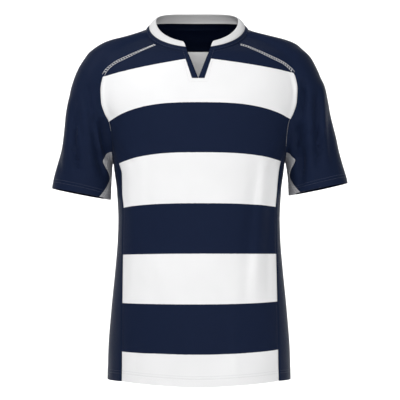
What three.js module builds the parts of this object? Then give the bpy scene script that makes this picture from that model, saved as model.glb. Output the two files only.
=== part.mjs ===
// A short-sleeved rugby shirt with raglan sleeves, filled out as if worn, with nobody in it.
// Millimetres, +Z up. The front faces -Y, and the wearer's right is at -X. The origin is between the
// shoulders, at the height where the neck seam crosses them, which is where the wearer carries it.
//
// Every panel lies on one form, the outside of the filled shirt: a trunk and two sleeves, each a stack
// of level ovals, run together with a soft blend. Seams are curves on that form, and two panels that
// meet share their seam's points, so their walls stand side by side with a narrow gap.
import * as THREE from 'three';

// Cloth
const CLOTH = 1.6;
const BAND_CLOTH = 3;
const STRIP_CLOTH = 2.2;
const STRIP_RAISE = 0.6;
const SEAM_GAP = 0.3;

// Lengths down from the shoulders
const HEM_FRONT = -737;
const HEM_SEAM = -731;
const HEM_SIDE_DROP = 3;
const ARMPIT_X = 180;
const ARMPIT_Z = -266;
const ARMPIT_SAG = 17;

// The V cut at the neck: half its width at the bottom and at the neck seam, and where its point is
const V_CENTRE = -1.5;
const V_POINT_Z = -126.5;
const V_BOTTOM_HALF = 12.5;
const V_TOP_HALF = 31;
const V_MOUTH_HALF = 21.5;
const V_ROWS_END = 5;

// Where the raglan seams leave the neck, in degrees round it from the side, + to the back
const RAGLAN_FRONT_ANGLE = -41;
const RAGLAN_BACK_ANGLE = 54;

// The neck's centre lies a little to the wearer's right
const NECK_CENTRE = -4;

// Sleeve openings: the outer and inner end of each cuff's lower edge, seen from the front
const CUFF = {
  right: { outerX: 305.3, outerZ: -338.6, innerX: 185, innerZ: -361.7 },
  left: { outerX: 310, outerZ: -327.5, innerX: 188, innerZ: -352.7 },
};

// How finely the panels are divided
const HALF_COLUMNS = 8;
const BACK_TOP_HALF_COLUMNS = 8;
const SLEEVE_HALF_COLUMNS = 10;
const SIDE_COLUMNS = 8;
const LOWER_ROWS = 15;
const LOWER_SPREAD = 1.6;
const SAG_SHARE = 0.12;
const INSERT_ROWS = [0, 0.04, 0.12, 0.25, 0.4, 0.55, 0.7, 0.85, 1];
const COLUMN_SWING = 1.15;
const UPPER_ROWS = [0, 0.5, 1, 1.5, 2, 2.5, 3, 3.5, 4, 4.5, 5, 6, 7, 8, 9, 10, 11, 11.6, 12];
const LAST_STEP = 12;
const WIDEN_STEPS = 4;

// How closely points are brought onto the form: steps of the walk, its longest stride, the length
// and stride of a ray from inside, and the halvings that end it
const WALK_STEPS = 14;
const WALK_STRIDE = 6;
const RAY_START = 4;
const RAY_END = 260;
const RAY_STRIDE = 1.5;
const RAY_HALVINGS = 24;
const SLOPE_STEP = 0.4;
const CREASE_BELOW = 40;
const CREASE_REACH = 90;
const CREASE_STRIDE = 0.25;
const SHARPEST_CORNER = 0.15;

function table(names, rows) {
  const keys = names.split(' ');
  return rows.map((row) => Object.fromEntries(keys.map((key, k) => [key, row[k]])));
}

// The trunk's level ovals, up from below the hem. front and back are depths from the line mid.
const TRUNK = table('z half front back mid power', [
  [-760, 192, 124, 122, 0, 2.25],
  [-735, 191, 124, 122, 0, 2.25],
  [-676, 189.5, 123, 119, 0, 2.25],
  [-592, 183.2, 121, 114, 0, 2.3],
  [-509, 175, 119.5, 108, 0, 2.3],
  [-446, 169.8, 118.5, 105, 0, 2.3],
  [-404, 168.6, 118, 105, 0, 2.3],
  [-341, 171.7, 119, 111, 0, 2.3],
  [-300, 177, 121, 117, 0, 2.3],
  [-280, 179, 122, 119, 0, 2.3],
  [-262, 182, 122, 121, 0, 2.3],
  [-235, 189, 121.5, 123, 0, 2.3],
  [-206, 200, 120, 123.5, 0, 2.3],
  [-180, 211, 118.5, 123, 0, 2.3],
  [-150, 219, 115.5, 120, 0.5, 2.3],
  [-126, 221, 112, 116, 2, 2.3],
  [-100, 222, 108, 111, 4, 2.3],
  [-86, 222, 104, 107, 5, 2.25],
  [-71, 221, 98, 103, 7, 2.2],
  [-50, 214, 76, 94, 10, 2.1],
  [-35, 196, 60, 86, 13.5, 2.05],
  [-20, 156, 47, 79, 17, 2],
  [-10, 126, 38, 71, 19.5, 2],
  [-2, 106, 30, 66, 22, 2],
  [12, 98, 20, 54, 26, 2],
  [40, 75, 10, 36, 30, 2],
]);

// The sleeves' level ovals: outer and inner are distances from the middle of the shirt. The inner
// edge above the armpit lies inside the trunk. blend is how widely sleeve and trunk run together.
// Below the cuffs the ovals swing clear of the trunk.
const SLEEVES = table('z outerRight innerRight outerLeft innerLeft deep mid blend', [
  [-480, 420, 320, 420, 320, 62, -3, 5],
  [-380, 313, 186.5, 318, 189.5, 62, -3, 5],
  [-362, 310, 185, 315, 188.2, 62, -3, 5],
  [-320, 303.6, 182.8, 308.5, 186, 63.5, -2, 5],
  [-286, 295.2, 181, 299, 181.5, 66, -1, 6],
  [-262, 290, 176, 292.5, 177.5, 67.5, 0, 9],
  [-236, 284.8, 172, 287, 174, 69, 0, 12],
  [-195, 278.5, 168.5, 276.8, 167, 70, 0, 14],
  [-153, 272.2, 167, 268.5, 164, 69, 1, 14],
  [-132, 268, 164, 263.8, 160, 69, 2, 14],
  [-111, 261.8, 158, 255.8, 153, 68, 3.5, 13],
  [-90, 253.4, 150, 247.3, 145, 66, 5, 12],
  [-65, 238.7, 135, 234.5, 131, 62, 8, 10],
  [-56, 232.4, 130, 226.2, 125, 60, 9, 9],
  [-48, 223.5, 122, 217.8, 117, 57, 10.5, 8],
  [-39, 211.5, 112, 209, 110, 53, 12.5, 7],
  [-31, 196.3, 100, 194, 98, 48, 14.5, 6],
  [-23, 169.6, 78, 169.3, 78, 42, 16, 5],
  [-14.7, 144.5, 60, 140, 56, 36, 18, 5],
  [-6.3, 124, 46, 115.5, 38, 28, 20.5, 4],
  [2, 109, 36, 100.5, 28, 20, 23, 4],
  [12, 96, 30, 90, 24, 14, 26, 4],
  [40, 70, 20, 66, 18, 8, 30, 4],
]);

// The raglan and armhole seams in 12 steps from the neck to the armpit, with the height of the
// sleeve's outline on the same row, and the distance in from it to the row's core
const RAGLAN = table('s frontX frontZ topZ backX backZ core', [
  [0, 84, -46, -2, 62, 9, 40],
  [1, 113, -62, -15, 98, -16, 48],
  [2, 146, -78, -25.5, 132, -42, 50],
  [3, 172, -89.5, -37, 160, -67, 52],
  [4, 190, -105, -57, 178, -93, 54],
  [5, 196.5, -121, -80, 186, -120, 55],
  [6, 199.5, -142, -107, 189, -147, 56],
  [7, 198.5, -166, -134, 188, -172, 56],
  [8, 192, -189, -161, 185, -195, 56],
  [9, 184.5, -206, -187, 182, -215, 56],
  [10, 181, -226, -208, 180.5, -234, 56],
  [11, 180, -246, -226, 179.5, -250, 57],
  [12, ARMPIT_X, ARMPIT_Z, -244, ARMPIT_X, ARMPIT_Z, 57],
]);

// The seams between the side panels and the front and back
const PANEL_SEAM = table('z right left', [
  [-740, 155.5, 161],
  [-477, 155, 157.8],
  [-381, 154, 157],
  [-350, 157, 159.5],
  [-315, 157, 162.5],
  [-292, 163.5, 166],
  [-279, 171.5, 171.5],
  [ARMPIT_Z, ARMPIT_X, ARMPIT_X],
]);

// The underarm insert's edges, in degrees round the sleeve from its inner side, down to the cuff
const INSERT_EDGE = table('down angle', [
  [0, 27],
  [0.1, 33],
  [0.19, 41.5],
  [0.32, 34],
  [0.45, 20],
  [0.55, 14],
  [0.72, 24],
  [0.87, 36],
  [1, 46],
]);

// The neck's three rings, up from the neck seam: each is an oval that tilts down to the front
const NECK = {
  seam: { half: 108, sideZ: -2, sideY: 8, frontY: -92, frontZ: -71, backY: 81, backZ: 12 },
  joint: { half: 100.8, sideZ: 4, sideY: 7, frontY: -86, frontZ: -60, backY: 74, backZ: 25 },
  top: { half: 87, sideZ: 17, sideY: 6, frontY: -75, frontZ: -48, backY: 64, backZ: 43 },
};
const NECK_BACK_LIFT = 0.5;
const BAND_BULGE = 1.5;
const V_JOINT_HALF = 26;
const V_TOP_RING_HALF = 33.5;

// The largest folds, seen from the front (face -1) or the back (face 1): a soft line from one point
// to another that bows sideways by bow, as wide as spread, raised or sunk by rise
const FOLDS = table('face x1 z1 x2 z2 bow spread rise', [
  [-1, 120, -270, 90, -590, 4, 11, -3.5],
  [-1, 133, -275, 112, -580, 4, 10, 3],
  [-1, 151, -290, 138, -580, 3, 9, -3],
  [-1, -112, -210, -100, -420, -4, 11, -1.6],
  [-1, -142, -280, -138, -560, -4, 10, 1.6],
  [-1, -66, -360, -62, -520, 3, 12, -1.4],
  [-1, -233, -110, -199, -325, 4, 10, -4],
  [-1, -216, -140, -214, -330, 0, 9, 2],
  [-1, -251, -150, -240, -320, 8, 9, -3],
  [-1, -268, -150, -268, -310, 4, 10, 2],
  [-1, 241, -135, 246, -315, 4, 9, -3.5],
  [-1, 256, -110, 258, -290, 3, 9, 2.5],
  [-1, 213, -120, 212, -335, 7, 10, -4],
  [-1, 227, -130, 229, -310, 3, 9, 2],
  [1, -118, -250, -86, -560, -5, 12, -3],
  [1, -136, -270, -118, -600, -4, 11, 2.6],
  [1, 112, -240, 96, -480, 4, 12, -2.6],
  [1, 140, -290, 130, -600, 4, 11, 2.4],
  [1, 20, -330, 34, -560, 5, 16, -1.8],
  [1, -236, -130, -226, -320, -5, 10, -3.5],
  [1, -258, -150, -256, -300, 3, 10, 2.4],
  [1, 222, -120, 226, -330, 6, 10, -3.5],
  [1, 250, -140, 256, -300, 4, 10, 2.4],
]);
const FOLD_FACE = 14;

const mix = (a, b, t) => a + (b - a) * t;

// A smooth reader of a table's columns by one of them, in cubic pieces that never overshoot a row
function reader(rows, key) {
  const at = rows.map((row) => row[key]);
  const slopes = {};
  for (const name of Object.keys(rows[0])) {
    const step = at.slice(1).map((value, k) => (rows[k + 1][name] - rows[k][name]) / (value - at[k]));
    slopes[name] = at.map((_, k) => {
      if (k === 0) return step[0];
      if (k === at.length - 1) return step[k - 1];
      if (step[k - 1] * step[k] <= 0) return 0;
      return (2 * step[k - 1] * step[k]) / (step[k - 1] + step[k]);
    });
  }
  return (name, value) => {
    const last = at.length - 2;
    let k = 0;
    while (k < last && value > at[k + 1]) k += 1;
    const span = at[k + 1] - at[k];
    const t = Math.min(1, Math.max(0, (value - at[k]) / span));
    const rest = 1 - t;
    return rows[k][name] * rest * rest * (1 + 2 * t)
      + rows[k + 1][name] * t * t * (3 - 2 * t)
      + slopes[name][k] * span * rest * rest * t
      - slopes[name][k + 1] * span * t * t * rest;
  };
}

const trunk = reader(TRUNK, 'z');
const sleeve = reader(SLEEVES, 'z');
const raglan = reader(RAGLAN, 's');
const panelSeam = reader(PANEL_SEAM, 'z');
const insertEdge = reader(INSERT_EDGE, 'down');

// How far a point lies outside an oval, measured along the line from its centre
function ovalGap(x, y, wide, deep, power) {
  const reach = Math.hypot(x, y) + 1e-6;
  const size = ((Math.abs(x) / wide) ** power + (Math.abs(y) / deep) ** power) ** (1 / power) + 1e-9;
  return reach - reach / size;
}

function trunkGap(x, y, z) {
  const side = y - trunk('mid', z);
  const deep = trunk(side < 0 ? 'front' : 'back', z);
  return ovalGap(x, side, trunk('half', z), deep, trunk('power', z));
}

const sideName = (x) => (x < 0 ? 'Right' : 'Left');

function sleeveOval(side, z) {
  const outer = sleeve(`outer${side}`, z);
  const inner = sleeve(`inner${side}`, z);
  return { centre: (outer + inner) / 2, wide: (outer - inner) / 2, deep: sleeve('deep', z) };
}

function sleeveGap(x, y, z) {
  const oval = sleeveOval(sideName(x), z);
  return ovalGap(Math.abs(x) - oval.centre, y - sleeve('mid', z), oval.wide, oval.deep, 2);
}

// The folds' rise at a point: each fades to both ends, and to the other face
function foldRise(x, y, z) {
  let rise = 0;
  for (const fold of FOLDS) {
    const alongX = fold.x2 - fold.x1;
    const alongZ = fold.z2 - fold.z1;
    const length = Math.hypot(alongX, alongZ);
    const t = ((x - fold.x1) * alongX + (z - fold.z1) * alongZ) / length ** 2;
    if (t <= 0 || t >= 1) continue;
    const off = ((x - fold.x1) * alongZ - (z - fold.z1) * alongX) / length - fold.bow * 4 * t * (1 - t);
    const fade = 1 - (2 * t - 1) ** 4;
    const face = 0.5 + 0.5 * Math.tanh((fold.face * y) / FOLD_FACE);
    rise += fold.rise * fade * face * Math.exp(-((off / fold.spread) ** 2));
  }
  return rise;
}

// The form: negative inside the filled shirt, zero on its outside
function form(p) {
  const a = trunkGap(p.x, p.y, p.z);
  const b = sleeveGap(p.x, p.y, p.z);
  const blend = sleeve('blend', p.z);
  const near = Math.max(blend - Math.abs(a - b), 0) / blend;
  return Math.min(a, b) - (near * near * blend) / 4 - foldRise(p.x, p.y, p.z);
}

function slope(p) {
  const h = SLOPE_STEP;
  const d = (x, y, z) => form(new THREE.Vector3(p.x + x, p.y + y, p.z + z));
  return new THREE.Vector3(
    (d(h, 0, 0) - d(-h, 0, 0)) / (2 * h),
    (d(0, h, 0) - d(0, -h, 0)) / (2 * h),
    (d(0, 0, h) - d(0, 0, -h)) / (2 * h),
  );
}

// The nearest point of the form, found by walking down its slope
function onto(start) {
  const p = start.clone();
  for (let k = 0; k < WALK_STEPS; k += 1) {
    const steep = slope(p);
    const step = steep.multiplyScalar(-form(p) / steep.lengthSq());
    p.add(step.clampLength(0, WALK_STRIDE));
  }
  return p;
}

// Where a ray from inside the form first leaves it
function leaves(origin, direction) {
  const at = (r) => origin.clone().addScaledVector(direction, r);
  let low = RAY_START;
  let high = low;
  while (high < RAY_END && form(at(high)) < 0) {
    low = high;
    high += RAY_STRIDE;
  }
  for (let k = 0; k < RAY_HALVINGS; k += 1) {
    const middle = (low + high) / 2;
    if (form(at(middle)) < 0) low = middle;
    else high = middle;
  }
  return at((low + high) / 2);
}

// The point of the front (face -1) or back (face 1) of the form at a place seen from the front
function onFace(face, x, z) {
  return leaves(new THREE.Vector3(x, trunk('mid', z), z), new THREE.Vector3(0, face, 0));
}

// A point of one neck ring, at an angle from its side: -90 degrees is the front, 90 the back
function ringPoint(ring, sign, degrees) {
  const angle = THREE.MathUtils.degToRad(degrees);
  const s = Math.sin(angle);
  const x = NECK_CENTRE + sign * ring.half * Math.cos(angle);
  if (s < 0) return new THREE.Vector3(x, mix(ring.sideY, ring.frontY, -s), mix(ring.sideZ, ring.frontZ, -s));
  const lift = s * (1 + NECK_BACK_LIFT - NECK_BACK_LIFT * s);
  return new THREE.Vector3(x, mix(ring.sideY, ring.backY, s), mix(ring.sideZ, ring.backZ, lift));
}

// The angle at which a neck ring's front is a distance from the V's centre
function ringAngle(ring, sign, half) {
  const across = Math.abs(V_CENTRE + sign * half - NECK_CENTRE) / ring.half;
  return -THREE.MathUtils.radToDeg(Math.acos(across));
}

function evenly(from, to, steps) {
  return Array.from({ length: steps + 1 }, (_, k) => from + ((to - from) * k) / steps);
}

// Columns lie closer together towards the sides, where the form turns away
const columnShare = (k) => Math.sin((COLUMN_SWING * k) / HALF_COLUMNS) / Math.sin(COLUMN_SWING);

const lowerShare = (row) => (row / LOWER_ROWS) ** LOWER_SPREAD;

// The V's two edges on a row of the front panel, between the neck seam and its point
function vEdges(s) {
  const t = s / V_ROWS_END;
  const topZ = NECK.seam.frontZ + 2;
  return {
    outer: mix(V_TOP_HALF, V_BOTTOM_HALF, t),
    inner: mix(V_MOUTH_HALF, 0, t),
    z: mix(topZ, V_POINT_Z, t),
  };
}

// How far from the middle the trunk's side reaches at a depth y
function trunkReach(y, z) {
  const side = y - trunk('mid', z);
  const power = trunk('power', z);
  const deep = trunk(side < 0 ? 'front' : 'back', z);
  return trunk('half', z) * (1 - Math.abs(side / deep) ** power) ** (1 / power);
}

// The top of the narrow space between body and sleeve at a depth y, where the armhole passes under
function underArm(sign, y) {
  const up = new THREE.Vector3(0, 0, 1);
  let found = new THREE.Vector3(0, y, ARMPIT_Z - ARMPIT_SAG);
  for (let k = 0; k < 3; k += 1) {
    const oval = sleeveOval(sideName(sign), found.z);
    const turn = (y - sleeve('mid', found.z)) / oval.deep;
    const inner = oval.centre - oval.wide * Math.sqrt(1 - turn ** 2);
    const x = (sign * (trunkReach(y, found.z) + inner)) / 2;
    const below = new THREE.Vector3(x, y, found.z - CREASE_BELOW);
    let rise = 0;
    while (form(below.clone().addScaledVector(up, rise)) > 0 && rise < CREASE_REACH) rise += CREASE_STRIDE;
    found = below.addScaledVector(up, rise);
  }
  return onto(found);
}

// Every seam of one side of the shirt (sign -1 is the wearer's right), as lists of points
function sideSeams(sign) {
  const cuff = sign < 0 ? CUFF.right : CUFF.left;
  const name = sideName(sign);
  const seamRing = (degrees) => onto(ringPoint(NECK.seam, sign, degrees));
  const vMouth = ringAngle(NECK.seam, sign, V_MOUTH_HALF);
  const vEdge = ringAngle(NECK.seam, sign, V_TOP_HALF);
  const neckAngles = {
    strip: [vMouth, vEdge],
    front: evenly(vEdge, RAGLAN_FRONT_ANGLE, HALF_COLUMNS - 1),
    sleeveFront: evenly(RAGLAN_FRONT_ANGLE, 0, SLEEVE_HALF_COLUMNS),
    sleeveBack: evenly(0, RAGLAN_BACK_ANGLE, SLEEVE_HALF_COLUMNS),
    back: evenly(RAGLAN_BACK_ANGLE, 90, BACK_TOP_HALF_COLUMNS),
  };
  const neck = {};
  for (const [part, angles] of Object.entries(neckAngles)) neck[part] = angles.map(seamRing);
  const upper = (face, column) => UPPER_ROWS.map((s) => {
    if (s === 0) return seamRing(face < 0 ? RAGLAN_FRONT_ANGLE : RAGLAN_BACK_ANGLE);
    return onFace(face, sign * raglan(`${column}X`, s), raglan(`${column}Z`, s));
  });
  const lower = (face, tip) => evenly(0, LOWER_ROWS, LOWER_ROWS).map((row) => {
    if (row === 0) return tip;
    const z = mix(ARMPIT_Z, HEM_SEAM, lowerShare(row));
    return onFace(face, sign * panelSeam(sign < 0 ? 'right' : 'left', z), z);
  });
  const frontUpper = upper(-1, 'front');
  const backUpper = upper(1, 'back');
  const frontTip = frontUpper.at(-1);
  const backTip = backUpper.at(-1);
  const arc = evenly(0, 1, SIDE_COLUMNS).map((u) => {
    if (u === 0) return frontTip;
    if (u === 1) return backTip;
    return underArm(sign, mix(frontTip.y, backTip.y, u));
  });
  const cuffZ = (x) => mix(cuff.innerZ, cuff.outerZ, (x - cuff.innerX) / (cuff.outerX - cuff.innerX));
  const insert = INSERT_ROWS.map((down) => {
    if (down === 0) return arc;
    return arc.map((top, k) => {
      const angle = THREE.MathUtils.degToRad(insertEdge('angle', down) * ((2 * k) / SIDE_COLUMNS - 1));
      const low = sleeveOval(name, cuff.innerZ);
      const z = mix(top.z, cuffZ(low.centre - low.wide * Math.cos(angle)), down);
      const oval = sleeveOval(name, z);
      const x = oval.centre - oval.wide * Math.cos(angle);
      const guess = new THREE.Vector3(sign * x, sleeve('mid', z) + oval.deep * Math.sin(angle), z);
      return onto(guess);
    });
  });
  return {
    sign, name, cuff, neckAngles, neck, frontUpper, backUpper, arc, insert,
    frontLower: lower(-1, frontTip),
    backLower: lower(1, backTip),
  };
}

// A sheet is a list of points with four-cornered faces between them
class Sheet {
  constructor() {
    this.points = [];
    this.faces = [];
  }

  add(point) {
    this.points.push(point);
    return this.points.length - 1;
  }

  // Faces between neighbouring rows of point numbers, leaving out a face with a missing corner
  weave(rows) {
    for (let i = 0; i + 1 < rows.length; i += 1) {
      for (let j = 0; j + 1 < rows[i].length; j += 1) {
        const face = [rows[i][j], rows[i][j + 1], rows[i + 1][j + 1], rows[i + 1][j]];
        if (face.every((corner) => corner !== undefined)) this.faces.push(face);
      }
    }
    return this;
  }

  // The faces' own direction at each point
  directions() {
    const sums = this.points.map(() => new THREE.Vector3());
    for (const face of this.faces) {
      const [a, b, c, d] = face.map((k) => this.points[k]);
      const normal = c.clone().sub(a).cross(d.clone().sub(b));
      for (const k of face) sums[k].add(normal);
    }
    return sums.map((sum) => sum.normalize());
  }

  // The open edges, each as [from, to, face]
  openEdges() {
    const seen = new Map();
    for (const face of this.faces) {
      face.forEach((from, k) => {
        const to = face[(k + 1) % face.length];
        if (!seen.delete(`${to} ${from}`)) seen.set(`${from} ${to}`, [from, to, face]);
      });
    }
    return [...seen.values()];
  }

  // Draws the open edges in by a distance, along the sheet and square to each edge
  drawIn(distance) {
    const normals = this.directions();
    const pulls = this.points.map(() => []);
    for (const [from, to] of this.openEdges()) {
      const edge = this.points[to].clone().sub(this.points[from]);
      for (const k of [from, to]) pulls[k].push(normals[k].clone().cross(edge).normalize());
    }
    pulls.forEach((pull, k) => {
      if (pull.length !== 2) return;
      const share = Math.max(1 + pull[0].dot(pull[1]), SHARPEST_CORNER);
      const both = pull[0].clone().add(pull[1]);
      this.points[k] = this.points[k].clone().addScaledVector(both, distance / share);
    });
    return this;
  }
}

// A wall of cloth: the sheet's points raised by a little, the same points moved in by the thickness
// along the given directions, and a rim along every open edge
function clothWall(sheet, directions, thick, raise = 0) {
  const own = sheet.directions();
  const turn = own[0].dot(directions[0]) < 0;
  if (turn) sheet.faces.forEach((face) => face.reverse());
  const rims = sheet.openEdges();
  sheet.drawIn(SEAM_GAP / 2);
  const positions = [];
  const outer = sheet.points.map((p, k) => p.clone().addScaledVector(directions[k], raise));
  const inner = outer.map((p, k) => p.clone().addScaledVector(directions[k], -thick));
  for (const p of [...outer, ...inner]) positions.push(p.x, p.y, p.z);
  const under = (k) => k + outer.length;
  const index = [];
  for (const [a, b, c, d] of sheet.faces) {
    const short = outer[a].distanceTo(outer[c]) <= outer[b].distanceTo(outer[d]);
    const halves = short ? [[a, b, c], [a, c, d]] : [[a, b, d], [b, c, d]];
    for (const [p, q, r] of halves) {
      index.push(p, q, r);
      index.push(under(p), under(r), under(q));
    }
  }
  // Two walls that share a seam cut its twisted rim along the same diagonal
  const rank = (p) => p.z + p.y / 2 + p.x / 3;
  for (const [from, to] of rims) {
    if (rank(outer[from]) > rank(outer[to])) {
      index.push(from, under(from), under(to));
      index.push(from, under(to), to);
    } else {
      index.push(from, under(from), to);
      index.push(to, under(from), under(to));
    }
  }
  const geometry = new THREE.BufferGeometry();
  geometry.setAttribute('position', new THREE.Float32BufferAttribute(positions, 3));
  geometry.setIndex(index);
  geometry.computeVertexNormals();
  return geometry;
}

const outwards = (points) => points.map((p) => slope(p).normalize());

function panelWall(sheet, thick = CLOTH, raise = 0) {
  return clothWall(sheet, outwards(sheet.points), thick, raise);
}

// One row of the front or back from its middle to one side's seam point, without the middle itself
function halfRow(face, seam, first, middleZ) {
  const side = Math.sign(seam.x);
  const edge = Math.abs(seam.x - V_CENTRE);
  const points = [];
  for (let k = 1; k < HALF_COLUMNS; k += 1) {
    const share = (columnShare(k) - columnShare(1)) / (1 - columnShare(1));
    const x = V_CENTRE + side * mix(first, edge, share);
    points.push(onFace(face, x, mix(middleZ, seam.z, share)));
  }
  return [...points, seam];
}

// How far from the middle a row's first column lies
const regular = (seam) => Math.abs(seam.x - V_CENTRE) * columnShare(1);

// The front panel: two halves that share the middle column up to the point of the V
function frontPanel(right, left) {
  const sheet = new Sheet();
  const middleZ = (s) => mix(V_POINT_Z, ARMPIT_Z, (s - V_ROWS_END) / (LAST_STEP - V_ROWS_END));
  const half = (seams, row, s) => {
    if (s === 0) return seams.neck.front;
    const seam = seams.frontUpper[row];
    if (s <= V_ROWS_END) return halfRow(-1, seam, vEdges(s).outer, vEdges(s).z);
    const widen = Math.min(1, (s - V_ROWS_END) / WIDEN_STEPS);
    return halfRow(-1, seam, mix(V_BOTTOM_HALF, regular(seam), widen), middleZ(s));
  };
  const rows = UPPER_ROWS.map((s, row) => {
    const wearerRight = half(right, row, s).map((p) => sheet.add(p)).reverse();
    const wearerLeft = half(left, row, s).map((p) => sheet.add(p));
    const middle = s < V_ROWS_END ? undefined : sheet.add(onFace(-1, V_CENTRE, middleZ(s)));
    return [...wearerRight, middle, ...wearerLeft];
  });
  for (let row = 1; row <= LOWER_ROWS; row += 1) {
    const z = mix(ARMPIT_Z, HEM_FRONT, lowerShare(row));
    const halves = [right, left].map((seams) => {
      const seam = seams.frontLower[row];
      return halfRow(-1, seam, regular(seam), z).map((p) => sheet.add(p));
    });
    rows.push([...halves[0].reverse(), sheet.add(onFace(-1, V_CENTRE, z)), ...halves[1]]);
  }
  return panelWall(sheet.weave(rows));
}

function backPanel(right, left) {
  const sheet = new Sheet();
  const half = (seam, z) => halfRow(1, seam, regular(seam), z);
  const rows = [];
  const addRow = (halves, middle) => {
    const numbers = halves.map((half) => half.map((p) => sheet.add(p)));
    rows.push([...numbers[0].reverse(), sheet.add(middle), ...numbers[1]]);
  };
  UPPER_ROWS.forEach((s, row) => {
    if (s === 0) {
      const halves = [right, left].map((seams) => seams.neck.back.slice(0, -1).reverse());
      addRow(halves, right.neck.back.at(-1));
      return;
    }
    const z = mix(NECK.seam.backZ, ARMPIT_Z, s / LAST_STEP);
    addRow([half(right.backUpper[row], z), half(left.backUpper[row], z)], onFace(1, V_CENTRE, z));
  });
  for (let row = 1; row <= LOWER_ROWS; row += 1) {
    const z = mix(ARMPIT_Z, HEM_FRONT, lowerShare(row));
    addRow([half(right.backLower[row], z), half(left.backLower[row], z)], onFace(1, V_CENTRE, z));
  }
  return panelWall(sheet.weave(rows));
}

// A side panel: rows from the armhole's arc down to the hem, between the front and back seams
function sidePanel(seams) {
  const sheet = new Sheet();
  const rows = evenly(0, LOWER_ROWS, LOWER_ROWS).map((row) => {
    if (row === 0) return seams.arc.map((p) => sheet.add(p));
    const front = seams.frontLower[row];
    const back = seams.backLower[row];
    return evenly(0, 1, SIDE_COLUMNS).map((u) => {
      if (u === 0) return sheet.add(front);
      if (u === 1) return sheet.add(back);
      const dip = ARMPIT_Z - seams.arc[Math.round(u * SIDE_COLUMNS)].z;
      const sag = dip * Math.max(0, 1 - lowerShare(row) / SAG_SHARE);
      const hemDrop = HEM_SIDE_DROP * lowerShare(row) ** 3 * (1 - (2 * u - 1) ** 2);
      const y = mix(front.y, back.y, u);
      const z = mix(front.z, back.z, u) - sag - hemDrop;
      return sheet.add(onto(new THREE.Vector3(seams.sign * trunkReach(y, z), y, z)));
    });
  });
  return panelWall(sheet.weave(rows));
}

// Turns one unit direction towards another by a share of the angle between them
function turned(from, to, share) {
  const angle = from.angleTo(to);
  const a = Math.sin((1 - share) * angle) / Math.sin(angle);
  const b = Math.sin(share * angle) / Math.sin(angle);
  return from.clone().multiplyScalar(a).addScaledVector(to, b);
}

// One row of a sleeve, from the front seam over the outside to the back seam, as seen from its core
function sleeveRow(seams, front, back, topZ, core) {
  const outer = seams.sign * sleeve(`outer${seams.name}`, topZ);
  const top = onto(new THREE.Vector3(outer, sleeve('mid', topZ), topZ));
  const foot = front.clone().add(back).multiplyScalar(0.5);
  const inward = new THREE.Vector3(foot.x - top.x, 0, foot.z - top.z).normalize();
  const centre = top.clone().addScaledVector(inward, core);
  const toward = (p) => p.clone().sub(centre).normalize();
  const half = (seam) => evenly(0, 1, SLEEVE_HALF_COLUMNS).slice(1, -1).map((share) => (
    leaves(centre, turned(toward(top), toward(seam), share))
  ));
  return [front, ...half(front).reverse(), top, ...half(back), back];
}

function sleevePanel(seams) {
  const sheet = new Sheet();
  const rows = UPPER_ROWS.map((s, row) => {
    if (s === 0) return [...seams.neck.sleeveFront, ...seams.neck.sleeveBack.slice(1)];
    const { frontUpper, backUpper } = seams;
    return sleeveRow(seams, frontUpper[row], backUpper[row], raglan('topZ', s), raglan('core', s));
  });
  const lastCore = (seams.cuff.outerX - seams.cuff.innerX) / 2 + 1;
  for (let row = 1; row < INSERT_ROWS.length; row += 1) {
    const down = INSERT_ROWS[row];
    const edge = seams.insert[row];
    const topZ = mix(raglan('topZ', LAST_STEP), seams.cuff.outerZ, down);
    const core = mix(raglan('core', LAST_STEP), lastCore, down);
    rows.push(sleeveRow(seams, edge[0], edge.at(-1), topZ, core));
  }
  return panelWall(sheet.weave(rows.map((row) => row.map((p) => sheet.add(p)))));
}

function underarmInsert(seams) {
  const sheet = new Sheet();
  return panelWall(sheet.weave(seams.insert.map((row) => row.map((p) => sheet.add(p)))));
}

// A placket strip: down one edge of the V, from the neck seam to the point
function placketStrip(seams) {
  const sheet = new Sheet();
  const rows = UPPER_ROWS.filter((s) => s <= V_ROWS_END).map((s) => {
    if (s === 0) return seams.neck.strip.map((p) => sheet.add(p));
    const edges = vEdges(s);
    const point = (half) => onFace(-1, V_CENTRE + seams.sign * half, edges.z);
    return [sheet.add(point(edges.inner)), sheet.add(point(edges.outer))];
  });
  return panelWall(sheet.weave(rows), STRIP_CLOTH, STRIP_RAISE);
}

// The neck's columns, from one edge of the V round the back to the other: each has its point on the
// three rings, and the direction that points out of the cloth there
function neckColumns(right, left) {
  const sideColumns = (seams) => {
    const { strip, front, sleeveFront, sleeveBack, back } = seams.neckAngles;
    const rest = [...sleeveFront.slice(1), ...sleeveBack.slice(1), ...back.slice(1)];
    const angles = [strip[0], ...front, ...rest];
    const starts = {
      joint: ringAngle(NECK.joint, seams.sign, V_JOINT_HALF),
      top: ringAngle(NECK.top, seams.sign, V_TOP_RING_HALF),
    };
    const first = angles[0];
    return angles.map((angle) => {
      const share = (angle - first) / (90 - first);
      return {
        seam: onto(ringPoint(NECK.seam, seams.sign, angle)),
        joint: ringPoint(NECK.joint, seams.sign, mix(starts.joint, 90, share)),
        top: ringPoint(NECK.top, seams.sign, mix(starts.top, 90, share)),
      };
    });
  };
  const columns = [...sideColumns(right), ...sideColumns(left).slice(0, -1).reverse()];
  columns.forEach((column, k) => {
    const before = columns[Math.max(0, k - 1)];
    const after = columns[Math.min(columns.length - 1, k + 1)];
    const along = after.joint.clone().sub(before.joint);
    const outOf = (low, high) => high.clone().sub(low).cross(along).normalize();
    column.seamOut = slope(column.seam).normalize();
    column.jointOut = outOf(column.seam, column.top);
    column.topOut = outOf(column.joint, column.top);
    if (column.jointOut.dot(column.seamOut) < 0) column.jointOut.negate();
    if (column.topOut.dot(column.jointOut) < 0) column.topOut.negate();
  });
  return columns;
}

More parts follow.
